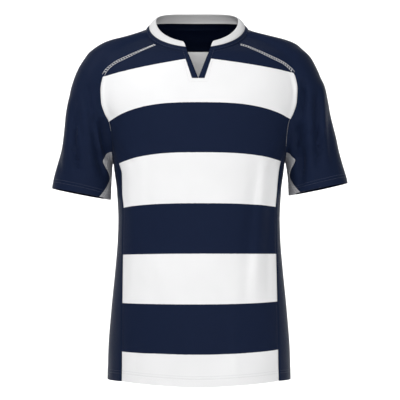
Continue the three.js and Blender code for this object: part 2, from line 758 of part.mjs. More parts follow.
function neckTrim(columns) {
  const sheet = new Sheet();
  const rows = [columns.map((c) => sheet.add(c.seam)), columns.map((c) => sheet.add(c.joint))];
  const directions = [...columns.map((c) => c.seamOut), ...columns.map((c) => c.jointOut)];
  return clothWall(sheet.weave(rows), directions, CLOTH);
}

function collarBand(columns) {
  const sheet = new Sheet();
  const middle = columns.map((c) => {
    const out = c.jointOut.clone().add(c.topOut).normalize();
    const point = c.joint.clone().add(c.top).multiplyScalar(0.5).addScaledVector(out, BAND_BULGE);
    return { point, out };
  });
  const rows = [
    columns.map((c) => sheet.add(c.joint)),
    middle.map((m) => sheet.add(m.point)),
    columns.map((c) => sheet.add(c.top)),
  ];
  const directions = [
    ...columns.map((c) => c.jointOut),
    ...middle.map((m) => m.out),
    ...columns.map((c) => c.topOut),
  ];
  return clothWall(sheet.weave(rows), directions, BAND_CLOTH);
}

const NAVY = new THREE.MeshStandardMaterial({ color: 0x1c2438, roughness: 0.7, metalness: 0 });
const WHITE = new THREE.MeshStandardMaterial({ color: 0xf2f2f2, roughness: 0.75, metalness: 0 });
const GREY = new THREE.MeshStandardMaterial({ color: 0x9a9a9e, roughness: 0.75, metalness: 0 });

const shirt = new THREE.Group();
function piece(name, geometry, material) {
  const mesh = new THREE.Mesh(geometry, material.clone());
  mesh.name = name;
  shirt.add(mesh);
}

const right = sideSeams(-1);
const left = sideSeams(1);
const collar = neckColumns(right, left);
piece('front_panel', frontPanel(right, left), WHITE);
piece('back_panel', backPanel(right, left), WHITE);
piece('neck_trim', neckTrim(collar), NAVY);
piece('collar_band', collarBand(collar), WHITE);
for (const seams of [right, left]) {
  const side = seams.name.toLowerCase();
  piece(`side_panel_${side}`, sidePanel(seams), NAVY);
  piece(`sleeve_${side}`, sleevePanel(seams), NAVY);
  piece(`underarm_insert_${side}`, underarmInsert(seams), GREY);
  piece(`placket_strip_${side}`, placketStrip(seams), NAVY);
}

export default shirt;
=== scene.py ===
# %% [markdown]
# # A rugby shirt, filled out as if somebody wore it
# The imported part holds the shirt's panels as stiff walls. Here each panel is made again as a thin
# cloth shell on the same form, fine enough to carry small creases, sunk seams, a turned hem and
# real stitches, and gets a knitted cloth with the hoops dyed in.

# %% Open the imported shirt
import bpy
import numpy as np
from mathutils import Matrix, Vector


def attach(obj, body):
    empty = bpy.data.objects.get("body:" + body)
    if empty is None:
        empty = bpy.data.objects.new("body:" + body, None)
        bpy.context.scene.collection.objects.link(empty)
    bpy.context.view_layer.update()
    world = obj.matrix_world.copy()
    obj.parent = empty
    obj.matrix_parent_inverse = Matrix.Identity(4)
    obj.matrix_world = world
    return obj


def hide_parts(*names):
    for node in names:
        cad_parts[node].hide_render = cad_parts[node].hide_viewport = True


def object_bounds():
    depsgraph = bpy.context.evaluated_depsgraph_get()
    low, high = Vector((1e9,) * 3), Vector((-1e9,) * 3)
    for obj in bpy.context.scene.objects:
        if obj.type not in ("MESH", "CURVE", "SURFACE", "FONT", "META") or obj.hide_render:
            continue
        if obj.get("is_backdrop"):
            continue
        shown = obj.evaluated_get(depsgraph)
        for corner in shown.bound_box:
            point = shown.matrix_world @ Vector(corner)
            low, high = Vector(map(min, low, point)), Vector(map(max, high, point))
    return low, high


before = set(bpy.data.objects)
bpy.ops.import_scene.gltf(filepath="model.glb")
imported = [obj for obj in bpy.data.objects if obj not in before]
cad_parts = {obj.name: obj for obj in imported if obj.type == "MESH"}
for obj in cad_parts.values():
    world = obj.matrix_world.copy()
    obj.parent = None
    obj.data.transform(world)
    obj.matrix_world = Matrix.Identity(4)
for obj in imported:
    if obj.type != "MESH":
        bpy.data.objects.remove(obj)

cad_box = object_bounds()
MM = 0.001
print("the packed shirt fills", [[round(float(v), 3) for v in corner] for corner in cad_box])

# %% [markdown]
# ## The form
# A filled shirt has no flat part and no sharp corner, so its outside is worked out as one soft form:
# a trunk and two sleeves, each a stack of level ovals, run together where they touch. The ovals come
# from short tables, read between the rows by a curve that never overshoots. The ovals' tables are
# those of the solids, so every shell lies where its solid does, within 1.2 mm in the sleeves' folds.
# Sizes here are millimetres.

# %% Read a table smoothly between its rows
def table(names, rows):
    """One array for each named column."""
    return dict(zip(names.split(), np.array(rows, float).T))


def reader(columns, key):
    """read(name, value): a column of the table at any value of its key column, in cubic pieces whose
    slope at a row is the harmonic mean of the slopes on its two sides, or 0 at a turning point."""
    at = columns[key]
    slopes = {}
    for name, value in columns.items():
        step = np.diff(value) / np.diff(at)
        before, after = step[:-1], step[1:]
        same = before * after > 0
        inner = np.where(same, 2 * before * after / np.where(same, before + after, 1), 0)
        slopes[name] = np.concatenate([step[:1], inner, step[-1:]])

    def read(name, value):
        k = np.clip(np.searchsorted(at, value) - 1, 0, len(at) - 2)
        span = at[k + 1] - at[k]
        t = np.clip((value - at[k]) / span, 0, 1)
        rest = 1 - t
        v, m = columns[name], slopes[name]
        ends = v[k] * rest**2 * (1 + 2 * t) + v[k + 1] * t**2 * (3 - 2 * t)
        return ends + m[k] * span * rest**2 * t - m[k + 1] * span * t**2 * rest

    return read


# %% The trunk's level ovals: half width, and the depths to the front and back of the line mid
trunk = reader(table("z half front back mid power", [
    [-760, 192, 124, 122, 0, 2.25],
    [-735, 191, 124, 122, 0, 2.25],
    [-676, 189.5, 123, 119, 0, 2.25],
    [-592, 183.2, 121, 114, 0, 2.3],
    [-509, 175, 119.5, 108, 0, 2.3],
    [-446, 169.8, 118.5, 105, 0, 2.3],
    [-404, 168.6, 118, 105, 0, 2.3],
    [-341, 171.7, 119, 111, 0, 2.3],
    [-300, 177, 121, 117, 0, 2.3],
    [-280, 179, 122, 119, 0, 2.3],
    [-262, 182, 122, 121, 0, 2.3],
    [-235, 189, 121.5, 123, 0, 2.3],
    [-206, 200, 120, 123.5, 0, 2.3],
    [-180, 211, 118.5, 123, 0, 2.3],
    [-150, 219, 115.5, 120, 0.5, 2.3],
    [-126, 221, 112, 116, 2, 2.3],
    [-100, 222, 108, 111, 4, 2.3],
    [-86, 222, 104, 107, 5, 2.25],
    [-71, 221, 98, 103, 7, 2.2],
    [-50, 214, 76, 94, 10, 2.1],
    [-35, 196, 60, 86, 13.5, 2.05],
    [-20, 156, 47, 79, 17, 2],
    [-10, 126, 38, 71, 19.5, 2],
    [-2, 106, 30, 66, 22, 2],
    [12, 98, 20, 54, 26, 2],
    [40, 75, 10, 36, 30, 2],
]), "z")

# %% The sleeves' level ovals: how far their outer and inner sides are from the middle
sleeve = reader(table("z outerRight innerRight outerLeft innerLeft deep mid blend", [
    [-480, 420, 320, 420, 320, 62, -3, 5],
    [-380, 313, 186.5, 318, 189.5, 62, -3, 5],
    [-362, 310, 185, 315, 188.2, 62, -3, 5],
    [-320, 303.6, 182.8, 308.5, 186, 63.5, -2, 5],
    [-286, 295.2, 181, 299, 181.5, 66, -1, 6],
    [-262, 290, 176, 292.5, 177.5, 67.5, 0, 9],
    [-236, 284.8, 172, 287, 174, 69, 0, 12],
    [-195, 278.5, 168.5, 276.8, 167, 70, 0, 14],
    [-153, 272.2, 167, 268.5, 164, 69, 1, 14],
    [-132, 268, 164, 263.8, 160, 69, 2, 14],
    [-111, 261.8, 158, 255.8, 153, 68, 3.5, 13],
    [-90, 253.4, 150, 247.3, 145, 66, 5, 12],
    [-65, 238.7, 135, 234.5, 131, 62, 8, 10],
    [-56, 232.4, 130, 226.2, 125, 60, 9, 9],
    [-48, 223.5, 122, 217.8, 117, 57, 10.5, 8],
    [-39, 211.5, 112, 209, 110, 53, 12.5, 7],
    [-31, 196.3, 100, 194, 98, 48, 14.5, 6],
    [-23, 169.6, 78, 169.3, 78, 42, 16, 5],
    [-14.7, 144.5, 60, 140, 56, 36, 18, 5],
    [-6.3, 124, 46, 115.5, 38, 28, 20.5, 4],
    [2, 109, 36, 100.5, 28, 20, 23, 4],
    [12, 96, 30, 90, 24, 14, 26, 4],
    [40, 70, 20, 66, 18, 8, 30, 4],
]), "z")

# %% [markdown]
# ## The folds
# Cloth that hangs from a shoulder falls in a few long soft troughs and ridges. Each is a row here: a
# line between two points seen from the front, how far it bows, how wide it is and how far it rises.
# The first table is part of the form, as in the solids, but with the folds on the sleeves' fronts
# three tenths deeper. The second adds the creases that only a thin cloth can carry: drag lines at the
# armholes, deep troughs and ripples in the sleeves, a ripple at the hem.

# %% The large folds of the form, front -1 and back 1
FOLDS = table("face x1 z1 x2 z2 bow spread rise", [
    [-1, 120, -270, 90, -590, 4, 11, -3.5],
    [-1, 133, -275, 112, -580, 4, 10, 3],
    [-1, 151, -290, 138, -580, 3, 9, -3],
    [-1, -112, -210, -100, -420, -4, 11, -1.6],
    [-1, -142, -280, -138, -560, -4, 10, 1.6],
    [-1, -66, -360, -62, -520, 3, 12, -1.4],
    [-1, -233, -110, -199, -325, 4, 10, -5.2],
    [-1, -216, -140, -214, -330, 0, 9, 2.6],
    [-1, -251, -150, -240, -320, 8, 9, -3.9],
    [-1, -268, -150, -268, -310, 4, 10, 2.6],
    [-1, 241, -135, 246, -315, 4, 9, -4.5],
    [-1, 256, -110, 258, -290, 3, 9, 3.2],
    [-1, 213, -120, 212, -335, 7, 10, -5.2],
    [-1, 227, -130, 229, -310, 3, 9, 2.6],
    [1, -118, -250, -86, -560, -5, 12, -3],
    [1, -136, -270, -118, -600, -4, 11, 2.6],
    [1, 112, -240, 96, -480, 4, 12, -2.6],
    [1, 140, -290, 130, -600, 4, 11, 2.4],
    [1, 20, -330, 34, -560, 5, 16, -1.8],
    [1, -236, -130, -226, -320, -5, 10, -3.5],
    [1, -258, -150, -256, -300, 3, 10, 2.4],
    [1, 222, -120, 226, -330, 6, 10, -3.5],
    [1, 250, -140, 256, -300, 4, 10, 2.4],
])

# %% The small creases that are laid over it
CREASES = table("face x1 z1 x2 z2 bow spread rise", [
    [-1, 185, -118, 189, -172, -5, 3.5, -1.3],
    [-1, 178, -112, 181, -168, -5, 4, 0.7],
    [-1, -186, -170, -168, -214, 3, 4, -1.2],
    [-1, -180, -190, -156, -222, -3, 4, -1.0],
    [-1, 184, -190, 160, -236, 3, 5, -1.0],
    [-1, -176, -236, -128, -300, 5, 6, -1.2],
    [-1, -160, -246, -112, -290, 4, 5, 0.8],
    [-1, 174, -240, 132, -312, -5, 6, -1.4],
    [-1, 160, -236, 118, -286, -5, 6, 0.9],
    [-1, -100, -420, -92, -640, -4, 10, -1.0],
    [-1, -34, -470, -30, -690, 4, 12, 0.9],
    [-1, 40, -500, 52, -700, -5, 12, -1.0],
    [-1, 78, -600, 74, -735, 3, 9, 1.2],
    [-1, -120, -610, -124, -736, 3, 9, -1.2],
    [-1, -219, -165, -193, -326, 3, 4.5, -5.6],
    [-1, -252, -192, -240, -318, 6, 4, -5.2],
    [-1, -246, -176, -233, -258, 2, 3.5, -4.2],
    [-1, -229, -150, -216, -300, 3, 6, 3.9],
    [-1, -262, -180, -258, -300, 3, 6, 2.4],
    [-1, -197, -198, -187, -284, 0, 7.5, -8.5],
    [-1, -226, -130, -221, -186, 0, 5, -2.8],
    [-1, -282, -190, -284, -320, 5, 6, -2.4],
    [-1, 240, -156, 244, -308, 2, 5, -4.2],
    [-1, 252, -128, 253, -290, 1, 5.5, 2.0],
    [-1, 212, -120, 204, -204, -3, 5, -6.5],
    [-1, 200, -200, 198, -278, 0, 6.5, -8.5],
    [-1, 209, -258, 209, -338, 0, 5, -6.5],
    [-1, 225, -200, 226, -320, 2, 6, 2.4],
    [-1, 268, -170, 276, -310, 4, 6, -2.4],
    [1, 176, -150, 150, -210, 4, 5, -1.2],
    [1, -178, -160, -150, -216, -4, 5, -1.2],
    [1, 168, -230, 118, -310, 5, 6, -1.3],
    [1, -170, -226, -116, -300, -5, 6, -1.4],
    [1, -60, -60, -30, -190, 6, 12, -0.9],
    [1, 70, -70, 40, -200, -6, 12, -0.9],
    [1, 0, -500, 8, -735, 4, 11, 1.2],
    [1, -70, -560, -64, -730, -4, 10, -1.2],
    [1, 86, -600, 80, -734, 4, 10, -1.1],
    [1, -246, -180, -244, -330, 4, 6, -1.2],
    [1, 240, -190, 246, -322, 4, 6, -1.2],
])
FOLD_FACE = 14


def fold_rise(p, folds):
    """Sum over the folds of rise * (1 - (2t - 1)^4) * exp(-(off / spread)^2) * face, where t runs
    along the fold from 0 to 1, off is the distance from its bowed line, and face is
    (1 + tanh(+-y / FOLD_FACE)) / 2, which fades it to the shirt's other side."""
    x, y, z = p[..., 0], p[..., 1], p[..., 2]
    total = np.zeros_like(x)
    for face, x1, z1, x2, z2, bow, spread, rise in zip(*folds.values()):
        run_x, run_z = x2 - x1, z2 - z1
        length = np.hypot(run_x, run_z)
        t = ((x - x1) * run_x + (z - z1) * run_z) / length**2
        off = ((x - x1) * run_z - (z - z1) * run_x) / length - bow * 4 * t * (1 - t)
        fade = np.where((t > 0) & (t < 1), 1 - (2 * t - 1) ** 4, 0)
        side = 0.5 + 0.5 * np.tanh(face * y / FOLD_FACE)
        total += rise * fade * side * np.exp(-((off / spread) ** 2))
    return total


# %% [markdown]
# ## Finding the form
# The form is a number at every point of space: negative inside the shirt, zero on its outside. Two
# helpers find that outside for whole arrays of points at once: one follows rays from the inside until
# they leave, the other walks guesses down the slope. Nothing here loops over single points.

# %% The form and its slope
def oval_gap(x, y, wide, deep, power):
    """Distance outside the oval |x/wide|^power + |y/deep|^power = 1, along the line from its centre."""
    reach = np.hypot(x, y) + 1e-6
    size = ((np.abs(x) / wide) ** power + (np.abs(y) / deep) ** power) ** (1 / power) + 1e-9
    return reach - reach / size


def sleeve_oval(x, z):
    """Centre, half width, half depth and middle depth of the sleeve on x's side at height z."""
    outer = np.where(x < 0, sleeve("outerRight", z), sleeve("outerLeft", z))
    inner = np.where(x < 0, sleeve("innerRight", z), sleeve("innerLeft", z))
    return (outer + inner) / 2, (outer - inner) / 2, sleeve("deep", z), sleeve("mid", z)


def form(p):
    """min(a, b) - max(blend - |a - b|, 0)^2 / (4 blend) - folds, for a trunk gap a and sleeve gap b."""
    x, y, z = p[..., 0], p[..., 1], p[..., 2]
    side = y - trunk("mid", z)
    deep = np.where(side < 0, trunk("front", z), trunk("back", z))
    a = oval_gap(x, side, trunk("half", z), deep, trunk("power", z))
    centre, wide, sleeve_deep, mid = sleeve_oval(x, z)
    b = oval_gap(np.abs(x) - centre, y - mid, wide, sleeve_deep, 2)
    blend = sleeve("blend", z)
    near = np.maximum(blend - np.abs(a - b), 0) / blend
    return np.minimum(a, b) - near**2 * blend / 4 - fold_rise(p, FOLDS)


def slope(p, step=0.4):
    """The form's slope at each point, from its values a step to both sides along each axis."""
    parts = []
    for axis in np.eye(3) * step:
        parts.append((form(p + axis) - form(p - axis)) / (2 * step))
    return np.stack(parts, -1)


def unit(v):
    """Each vector divided by its own length."""
    return v / np.maximum(np.linalg.norm(v, axis=-1, keepdims=True), 1e-9)


# %% Bring whole arrays of points onto the form
def onto(p, steps=14, stride=6):
    """Newton's walk p <- p - form(p) * slope(p) / |slope(p)|^2, no step longer than stride."""
    p = np.array(p, float)
    for _ in range(steps):
        steep = slope(p)
        step = -form(p)[..., None] * steep / np.maximum((steep**2).sum(-1, keepdims=True), 1e-9)
        far = np.linalg.norm(step, axis=-1, keepdims=True)
        p += step * np.minimum(1, stride / np.maximum(far, 1e-9))
    return p


def leaves(origin, direction, start=4, end=260, stride=2, halvings=18):
    """origin + r * direction, for the first r at which the form turns positive."""
    low = np.full(origin.shape[:-1], float(start))
    high = low.copy()
    inside = np.ones(low.shape, bool)
    for _ in range(int((end - start) / stride)):
        inside &= form(origin + direction * high[..., None]) < 0
        if not inside.any():
            break
        low = np.where(inside, high, low)
        high = np.where(inside, high + stride, high)
    for _ in range(halvings):
        middle = (low + high) / 2
        out = form(origin + direction * middle[..., None]) >= 0
        high = np.where(out, middle, high)
        low = np.where(out, low, middle)
    return origin + direction * ((low + high) / 2)[..., None]


def on_face(face, x, z):
    """The front (-1) or back (1) point of the form at the place (x, z) seen from the front."""
    x, z = np.broadcast_arrays(x, z)
    origin = np.stack([x, trunk("mid", z), z], -1)
    return leaves(origin, np.broadcast_to(np.array([0.0, face, 0.0]), origin.shape))


def mix(a, b, t):
    """a at t = 0, b at t = 1, straight between."""
    return a + (b - a) * t


# %% [markdown]
# ## The seams
# A raglan shirt is cut so that each sleeve runs up to the neck. The seams are curves on the form:
# the neck seam is a tilted oval, the raglan and armhole seams go from it to the armpit, and the side
# panels' seams from the armpit to the hem. Two panels that meet use the same curve.

# %% Sizes of the cut
HEM_FRONT, HEM_SEAM, HEM_SIDE_DROP = -737, -731, 3
ARMPIT_X, ARMPIT_Z, ARMPIT_SAG = 180, -266, 17
V_CENTRE, V_POINT_Z = -1.5, -126.5
V_BOTTOM_HALF, V_TOP_HALF, V_MOUTH_HALF, V_ROWS_END = 12.5, 31, 21.5, 5
RAGLAN_FRONT_ANGLE, RAGLAN_BACK_ANGLE = -41, 54
NECK_CENTRE, NECK_BACK_LIFT = -4, 0.5
LAST_STEP, WIDEN_STEPS, SAG_SHARE = 12, 4, 0.12
CUFFS = {-1: (305.3, -338.6, 185, -361.7), 1: (310, -327.5, 188, -352.7)}

raglan = reader(table("s frontX frontZ topZ backX backZ core", [
    [0, 84, -46, -2, 62, 9, 40],
    [1, 113, -62, -15, 98, -16, 48],
    [2, 146, -78, -25.5, 132, -42, 50],
    [3, 172, -89.5, -37, 160, -67, 52],
    [4, 190, -105, -57, 178, -93, 54],
    [5, 196.5, -121, -80, 186, -120, 55],
    [6, 199.5, -142, -107, 189, -147, 56],
    [7, 198.5, -166, -134, 188, -172, 56],
    [8, 192, -189, -161, 185, -195, 56],
    [9, 184.5, -206, -187, 182, -215, 56],
    [10, 181, -226, -208, 180.5, -234, 56],
    [11, 180, -246, -226, 179.5, -250, 57],
    [12, ARMPIT_X, ARMPIT_Z, -244, ARMPIT_X, ARMPIT_Z, 57],
]), "s")
panel_seam = reader(table("z right left", [
    [-740, 155.5, 161],
    [-477, 155, 157.8],
    [-381, 154, 157],
    [-350, 157, 159.5],
    [-315, 157, 162.5],
    [-292, 163.5, 166],
    [-279, 171.5, 171.5],
    [ARMPIT_Z, ARMPIT_X, ARMPIT_X],
]), "z")
insert_edge = reader(table("down angle", [
    [0, 27], [0.1, 33], [0.19, 41.5], [0.32, 34], [0.45, 20], [0.55, 14], [0.72, 24], [0.87, 36], [1, 46],
]), "down")

# %% The neck's three rings: the neck seam, where band and trim join, and the band's top
NECK = {
    "seam": dict(half=108, side_z=-2, side_y=8, front_y=-92, front_z=-71, back_y=81, back_z=12),
    "joint": dict(half=100.8, side_z=4, side_y=7, front_y=-86, front_z=-60, back_y=74, back_z=25),
    "top": dict(half=87, side_z=17, side_y=6, front_y=-75, front_z=-48, back_y=64, back_z=43),
}


def ring_point(ring, sign, degrees):
    """The ring's oval at an angle from its side, -90 the front and 90 the back: x by the cosine, y
    and z by the sine, the back's height lifted early by s(1 + lift - lift s)."""
    angle = np.radians(degrees)
    s = np.sin(angle)
    x = NECK_CENTRE + sign * ring["half"] * np.cos(angle)
    lift = s * (1 + NECK_BACK_LIFT - NECK_BACK_LIFT * s)
    front = s < 0
    y = np.where(front, mix(ring["side_y"], ring["front_y"], -s), mix(ring["side_y"], ring["back_y"], s))
    z = np.where(front, mix(ring["side_z"], ring["front_z"], -s), mix(ring["side_z"], ring["back_z"], lift))
    return np.stack([x, y, z], -1)


def ring_angle(ring, sign, half):
    """The angle at which the ring's front is a distance half from the middle of the V."""
    return -np.degrees(np.arccos(abs(V_CENTRE + sign * half - NECK_CENTRE) / ring["half"]))


# %% Rows of the grids, the same for panels that meet
NECK_ROWS = np.linspace(0, 0.5, 4)
V_ROWS = np.linspace(0.5, V_ROWS_END, 19)
ARMHOLE_ROWS = np.linspace(V_ROWS_END, LAST_STEP, 37)
STEPS = np.concatenate([NECK_ROWS, V_ROWS[1:], ARMHOLE_ROWS[1:]])
LOWER = np.concatenate([
    [0.002, 0.005], np.linspace(0, 0.945, 96)[1:] ** 1.08, np.linspace(0.9425, 1, 24)[1:],
])
CUFF_ROWS = np.concatenate([
    [0, 0.013, 0.026, 0.04], np.linspace(0.04, 0.76, 22)[1:], np.linspace(0.76, 1, 22)[1:],
])
print("rows from neck to armpit", len(STEPS), "and from armpit to hem", len(LOWER))


def neck_to_row(ring_row, rows):
    """The rows between the neck seam and step 0.5: straight mixes of the two, walked onto the form."""
    share = (NECK_ROWS[:-1] / NECK_ROWS[-1])[:, None, None]
    return np.concatenate([onto(mix(ring_row[None], rows[:1], share)), rows])


def raglan_seam(face, sign):
    """The front or back seam from neck to armpit, one point for each of STEPS."""
    side = "front" if face < 0 else "back"
    ring = ring_point(NECK["seam"], sign, RAGLAN_FRONT_ANGLE if face < 0 else RAGLAN_BACK_ANGLE)
    s = STEPS[len(NECK_ROWS) - 1:]
    rows = on_face(face, sign * raglan(side + "X", s), raglan(side + "Z", s))[:, None]
    return neck_to_row(onto(ring[None]), rows)[:, 0]


def lower_seam(face, sign):
    """The side panel's front or back seam below the armpit, one point for each of LOWER."""
    z = mix(ARMPIT_Z, HEM_SEAM, LOWER)
    return on_face(face, sign * panel_seam("right" if sign < 0 else "left", z), z)


# %% The bottom of the armhole, under the arm
def trunk_reach(y, z):
    """How far from the middle the trunk's side lies at depth y: half (1 - |y/deep|^p)^(1/p)."""
    side = y - trunk("mid", z)
    power = trunk("power", z)
    deep = np.where(side < 0, trunk("front", z), trunk("back", z))
    return trunk("half", z) * (1 - np.abs(side / deep) ** power) ** (1 / power)


def under_arm(sign, y):
    """The top of the narrow space between body and sleeve at each depth y, found by rising from
    below in small steps until the form is reached."""
    found_z = np.full(y.shape, float(ARMPIT_Z - ARMPIT_SAG))
    for _ in range(3):
        centre, wide, deep, mid = sleeve_oval(np.full(y.shape, float(sign)), found_z)
        inner = centre - wide * np.sqrt(1 - ((y - mid) / deep) ** 2)
        x = sign * (trunk_reach(y, found_z) + inner) / 2
        z = found_z - 40
        open_space = np.ones(y.shape, bool)
        for _ in range(360):
            open_space &= form(np.stack([x, y, z], -1)) > 0
            if not open_space.any():
                break
            z = np.where(open_space, z + 0.25, z)
        found_z = z
    return onto(np.stack([x, y, z], -1))

# %% [markdown]
# ## The panels
# Every panel is a grid of points on the form. Its columns and rows lie close together along seams and
# hems, where the cloth turns, and wider apart between them. The grids of two panels that meet end in
# the same seam points.

# %% Where the columns lie
COLUMNS = np.concatenate([np.linspace(1, 7.66, 31), [7.8, 7.89, 7.95, 8]])
MIDDLE = np.linspace(-1, 1, 13)
ACROSS = np.concatenate([[0, 0.008, 0.018, 0.032], np.linspace(0.055, 0.945, 19), [0.968, 0.982, 0.992, 1]])
AROUND = np.concatenate([np.linspace(0, 0.95, 28), [0.966, 0.978, 0.988, 0.994, 1]])


def column_share(k):
    """sin(1.15 k / 8) / sin(1.15): columns close up towards the side, where the form turns away."""
    return np.sin(1.15 * k / 8) / np.sin(1.15)


FIRST = column_share(1)
SHARE = (column_share(COLUMNS) - FIRST) / (1 - FIRST)


def body_rows(face, seams, first, middle_z):
    """Rows from the right seam over the middle to the left one. x goes from the row's first column at
    +-first to the seam by SHARE, z from middle_z to the seam's z by the same share."""
    halves = []
    for side in (-1, 1):
        seam = seams[side]
        edge = np.abs(seam[:, :1] - V_CENTRE)
        x = V_CENTRE + side * mix(first[:, None], edge, SHARE)
        z = mix(middle_z[:, None], seam[:, 2:], SHARE)
        points = on_face(face, x, z)
        points[:, -1] = seam
        halves.append(points)
    x = V_CENTRE + first[:, None] * MIDDLE[1:-1]
    middle = on_face(face, x, np.broadcast_to(middle_z[:, None], x.shape))
    return np.concatenate([halves[0][:, ::-1], middle, halves[1]], 1)


def regular(seam):
    """Half the width of a row's middle stretch."""
    return np.abs(seam[:, 0] - V_CENTRE) * FIRST


# %% The front, with the V left open
BELOW = slice(len(NECK_ROWS) - 1, None)
SEAMS = {(face, sign): raglan_seam(face, sign) for face in (-1, 1) for sign in (-1, 1)}
LOWER_SEAMS = {(face, sign): lower_seam(face, sign) for face in (-1, 1) for sign in (-1, 1)}


def front_panel():
    """The front's grid, and which of its cells are cloth: all but the V."""
    s = STEPS[BELOW]
    seams = {sign: SEAMS[-1, sign][BELOW] for sign in (-1, 1)}
    in_v = s <= V_ROWS_END
    v_share = np.minimum(s / V_ROWS_END, 1)
    below_v = (s - V_ROWS_END) / (LAST_STEP - V_ROWS_END)
    width = np.mean([regular(seam) for seam in seams.values()], 0)
    widen = np.clip((s - V_ROWS_END) / WIDEN_STEPS, 0, 1)
    first = np.where(in_v, mix(V_TOP_HALF, V_BOTTOM_HALF, v_share), mix(V_BOTTOM_HALF, width, widen))
    top_z = NECK["seam"]["front_z"] + 2
    middle_z = np.where(in_v, mix(top_z, V_POINT_Z, v_share), mix(V_POINT_Z, ARMPIT_Z, below_v))
    rows = body_rows(-1, seams, first, middle_z)
    ring = []
    for sign in (-1, 1):
        start = ring_angle(NECK["seam"], sign, V_TOP_HALF)
        angles = mix(start, RAGLAN_FRONT_ANGLE, (COLUMNS - 1) / 7)
        ring.append(onto(ring_point(NECK["seam"], sign, angles)))
    across = mix(ring[0][:1], ring[1][:1], ((MIDDLE[1:-1] + 1) / 2)[:, None])
    upper = neck_to_row(np.concatenate([ring[0][::-1], across, ring[1]]), rows)
    seams = {sign: LOWER_SEAMS[-1, sign] for sign in (-1, 1)}
    width = np.mean([regular(seam) for seam in seams.values()], 0)
    lower = body_rows(-1, seams, width, mix(ARMPIT_Z, HEM_FRONT, LOWER))
    points = np.concatenate([upper, lower])
    cells = np.ones((len(points) - 1, points.shape[1] - 1), bool)
    v_rows = np.searchsorted(STEPS, V_ROWS_END)
    cells[:v_rows, len(COLUMNS) - 1:len(COLUMNS) - 1 + len(MIDDLE) - 1] = False
    return points, cells


# %% The back, whole
def back_panel():
    """The back's grid: as the front's, with the rows' middles evenly down from the neck."""
    s = STEPS[BELOW]
    seams = {sign: SEAMS[1, sign][BELOW] for sign in (-1, 1)}
    width = np.mean([regular(seam) for seam in seams.values()], 0)
    rows = body_rows(1, seams, width, mix(NECK["seam"]["back_z"], ARMPIT_Z, s / LAST_STEP))
    turn = 90 - RAGLAN_BACK_ANGLE
    half = {sign: onto(ring_point(NECK["seam"], sign, 90 - turn * COLUMNS / 8)) for sign in (-1, 1)}
    side = np.where(MIDDLE[1:-1] < 0, -1, 1)
    middle = onto(ring_point(NECK["seam"], side, 90 - turn * np.abs(MIDDLE[1:-1]) / 8))
    upper = neck_to_row(np.concatenate([half[-1][::-1], middle, half[1]]), rows)
    seams = {sign: LOWER_SEAMS[1, sign] for sign in (-1, 1)}
    width = np.mean([regular(seam) for seam in seams.values()], 0)
    lower = body_rows(1, seams, width, mix(ARMPIT_Z, HEM_FRONT, LOWER))
    points = np.concatenate([upper, lower])
    return points, np.ones((len(points) - 1, points.shape[1] - 1), bool)


# %% The side panels, from the armhole's arc to the hem
def armhole_arc(sign):
    """The bottom of the armhole, from the front armpit point to the back one."""
    front, back = SEAMS[-1, sign][-1], SEAMS[1, sign][-1]
    arc = under_arm(sign, mix(front[1], back[1], ACROSS))
    arc[0], arc[-1] = front, back
    return arc


ARCS = {sign: armhole_arc(sign) for sign in (-1, 1)}


def side_panel(sign):
    """Rows between the front and back seams: y and z straight across, z lowered by the arc's dip,
    which fades out over SAG_SHARE of the length, and x from the trunk's own reach."""
    front, back = LOWER_SEAMS[-1, sign][:, None], LOWER_SEAMS[1, sign][:, None]
    y = mix(front[..., 1], back[..., 1], ACROSS)
    dip = (ARMPIT_Z - ARCS[sign][:, 2]) * np.maximum(0, 1 - LOWER[:, None] / SAG_SHARE)
    drop = HEM_SIDE_DROP * LOWER[:, None] ** 3 * (1 - (2 * ACROSS - 1) ** 2)
    z = mix(front[..., 2], back[..., 2], ACROSS) - dip - drop
    rows = onto(np.stack([sign * trunk_reach(y, z), y, z], -1))
    rows[:, :1], rows[:, -1:] = front, back
    points = np.concatenate([ARCS[sign][None], rows])
    return points, np.ones((len(points) - 1, points.shape[1] - 1), bool)


# %% The underarm inserts, from the same arc to the cuff
def underarm_insert(sign):
    """Across, the angle round the sleeve's inner side goes from -a to a, with a read from the table
    by how far down the row is. Down, z goes from the arc to the cuff's slanting edge."""
    outer_x, outer_z, inner_x, inner_z = CUFFS[sign]
    down = CUFF_ROWS[3:, None]
    angle = np.radians(insert_edge("angle", down) * (2 * ACROSS - 1))
    centre, wide, _, _ = sleeve_oval(np.array(float(sign)), np.array(float(inner_z)))
    cuff_x = centre - wide * np.cos(angle)
    cuff_z = mix(inner_z, outer_z, (cuff_x - inner_x) / (outer_x - inner_x))
    z = mix(ARCS[sign][:, 2], cuff_z, down)
    centre, wide, deep, mid = sleeve_oval(np.full(z.shape, float(sign)), z)
    guess = np.stack([sign * (centre - wide * np.cos(angle)), mid + deep * np.sin(angle), z], -1)
    rows = onto(guess)
    share = (CUFF_ROWS[:3] / CUFF_ROWS[3])[:, None, None]
    first = mix(ARCS[sign][None], rows[:1], share)
    first[1:] = onto(first[1:])
    points = np.concatenate([first, rows])
    return points, np.ones((len(points) - 1, points.shape[1] - 1), bool)


INSERTS = {sign: underarm_insert(sign) for sign in (-1, 1)}


# %% The sleeves, from the neck over the shoulder to the cuff
def turned(start, end, share):
    """start turned towards end by share of the angle a between them:
    (sin((1 - share) a) start + sin(share a) end) / sin a."""
    angle = np.arccos(np.clip((start * end).sum(-1, keepdims=True), -1, 1))
    share = share[:, None]
    return (np.sin((1 - share) * angle) * start + np.sin(share * angle) * end) / np.sin(angle)


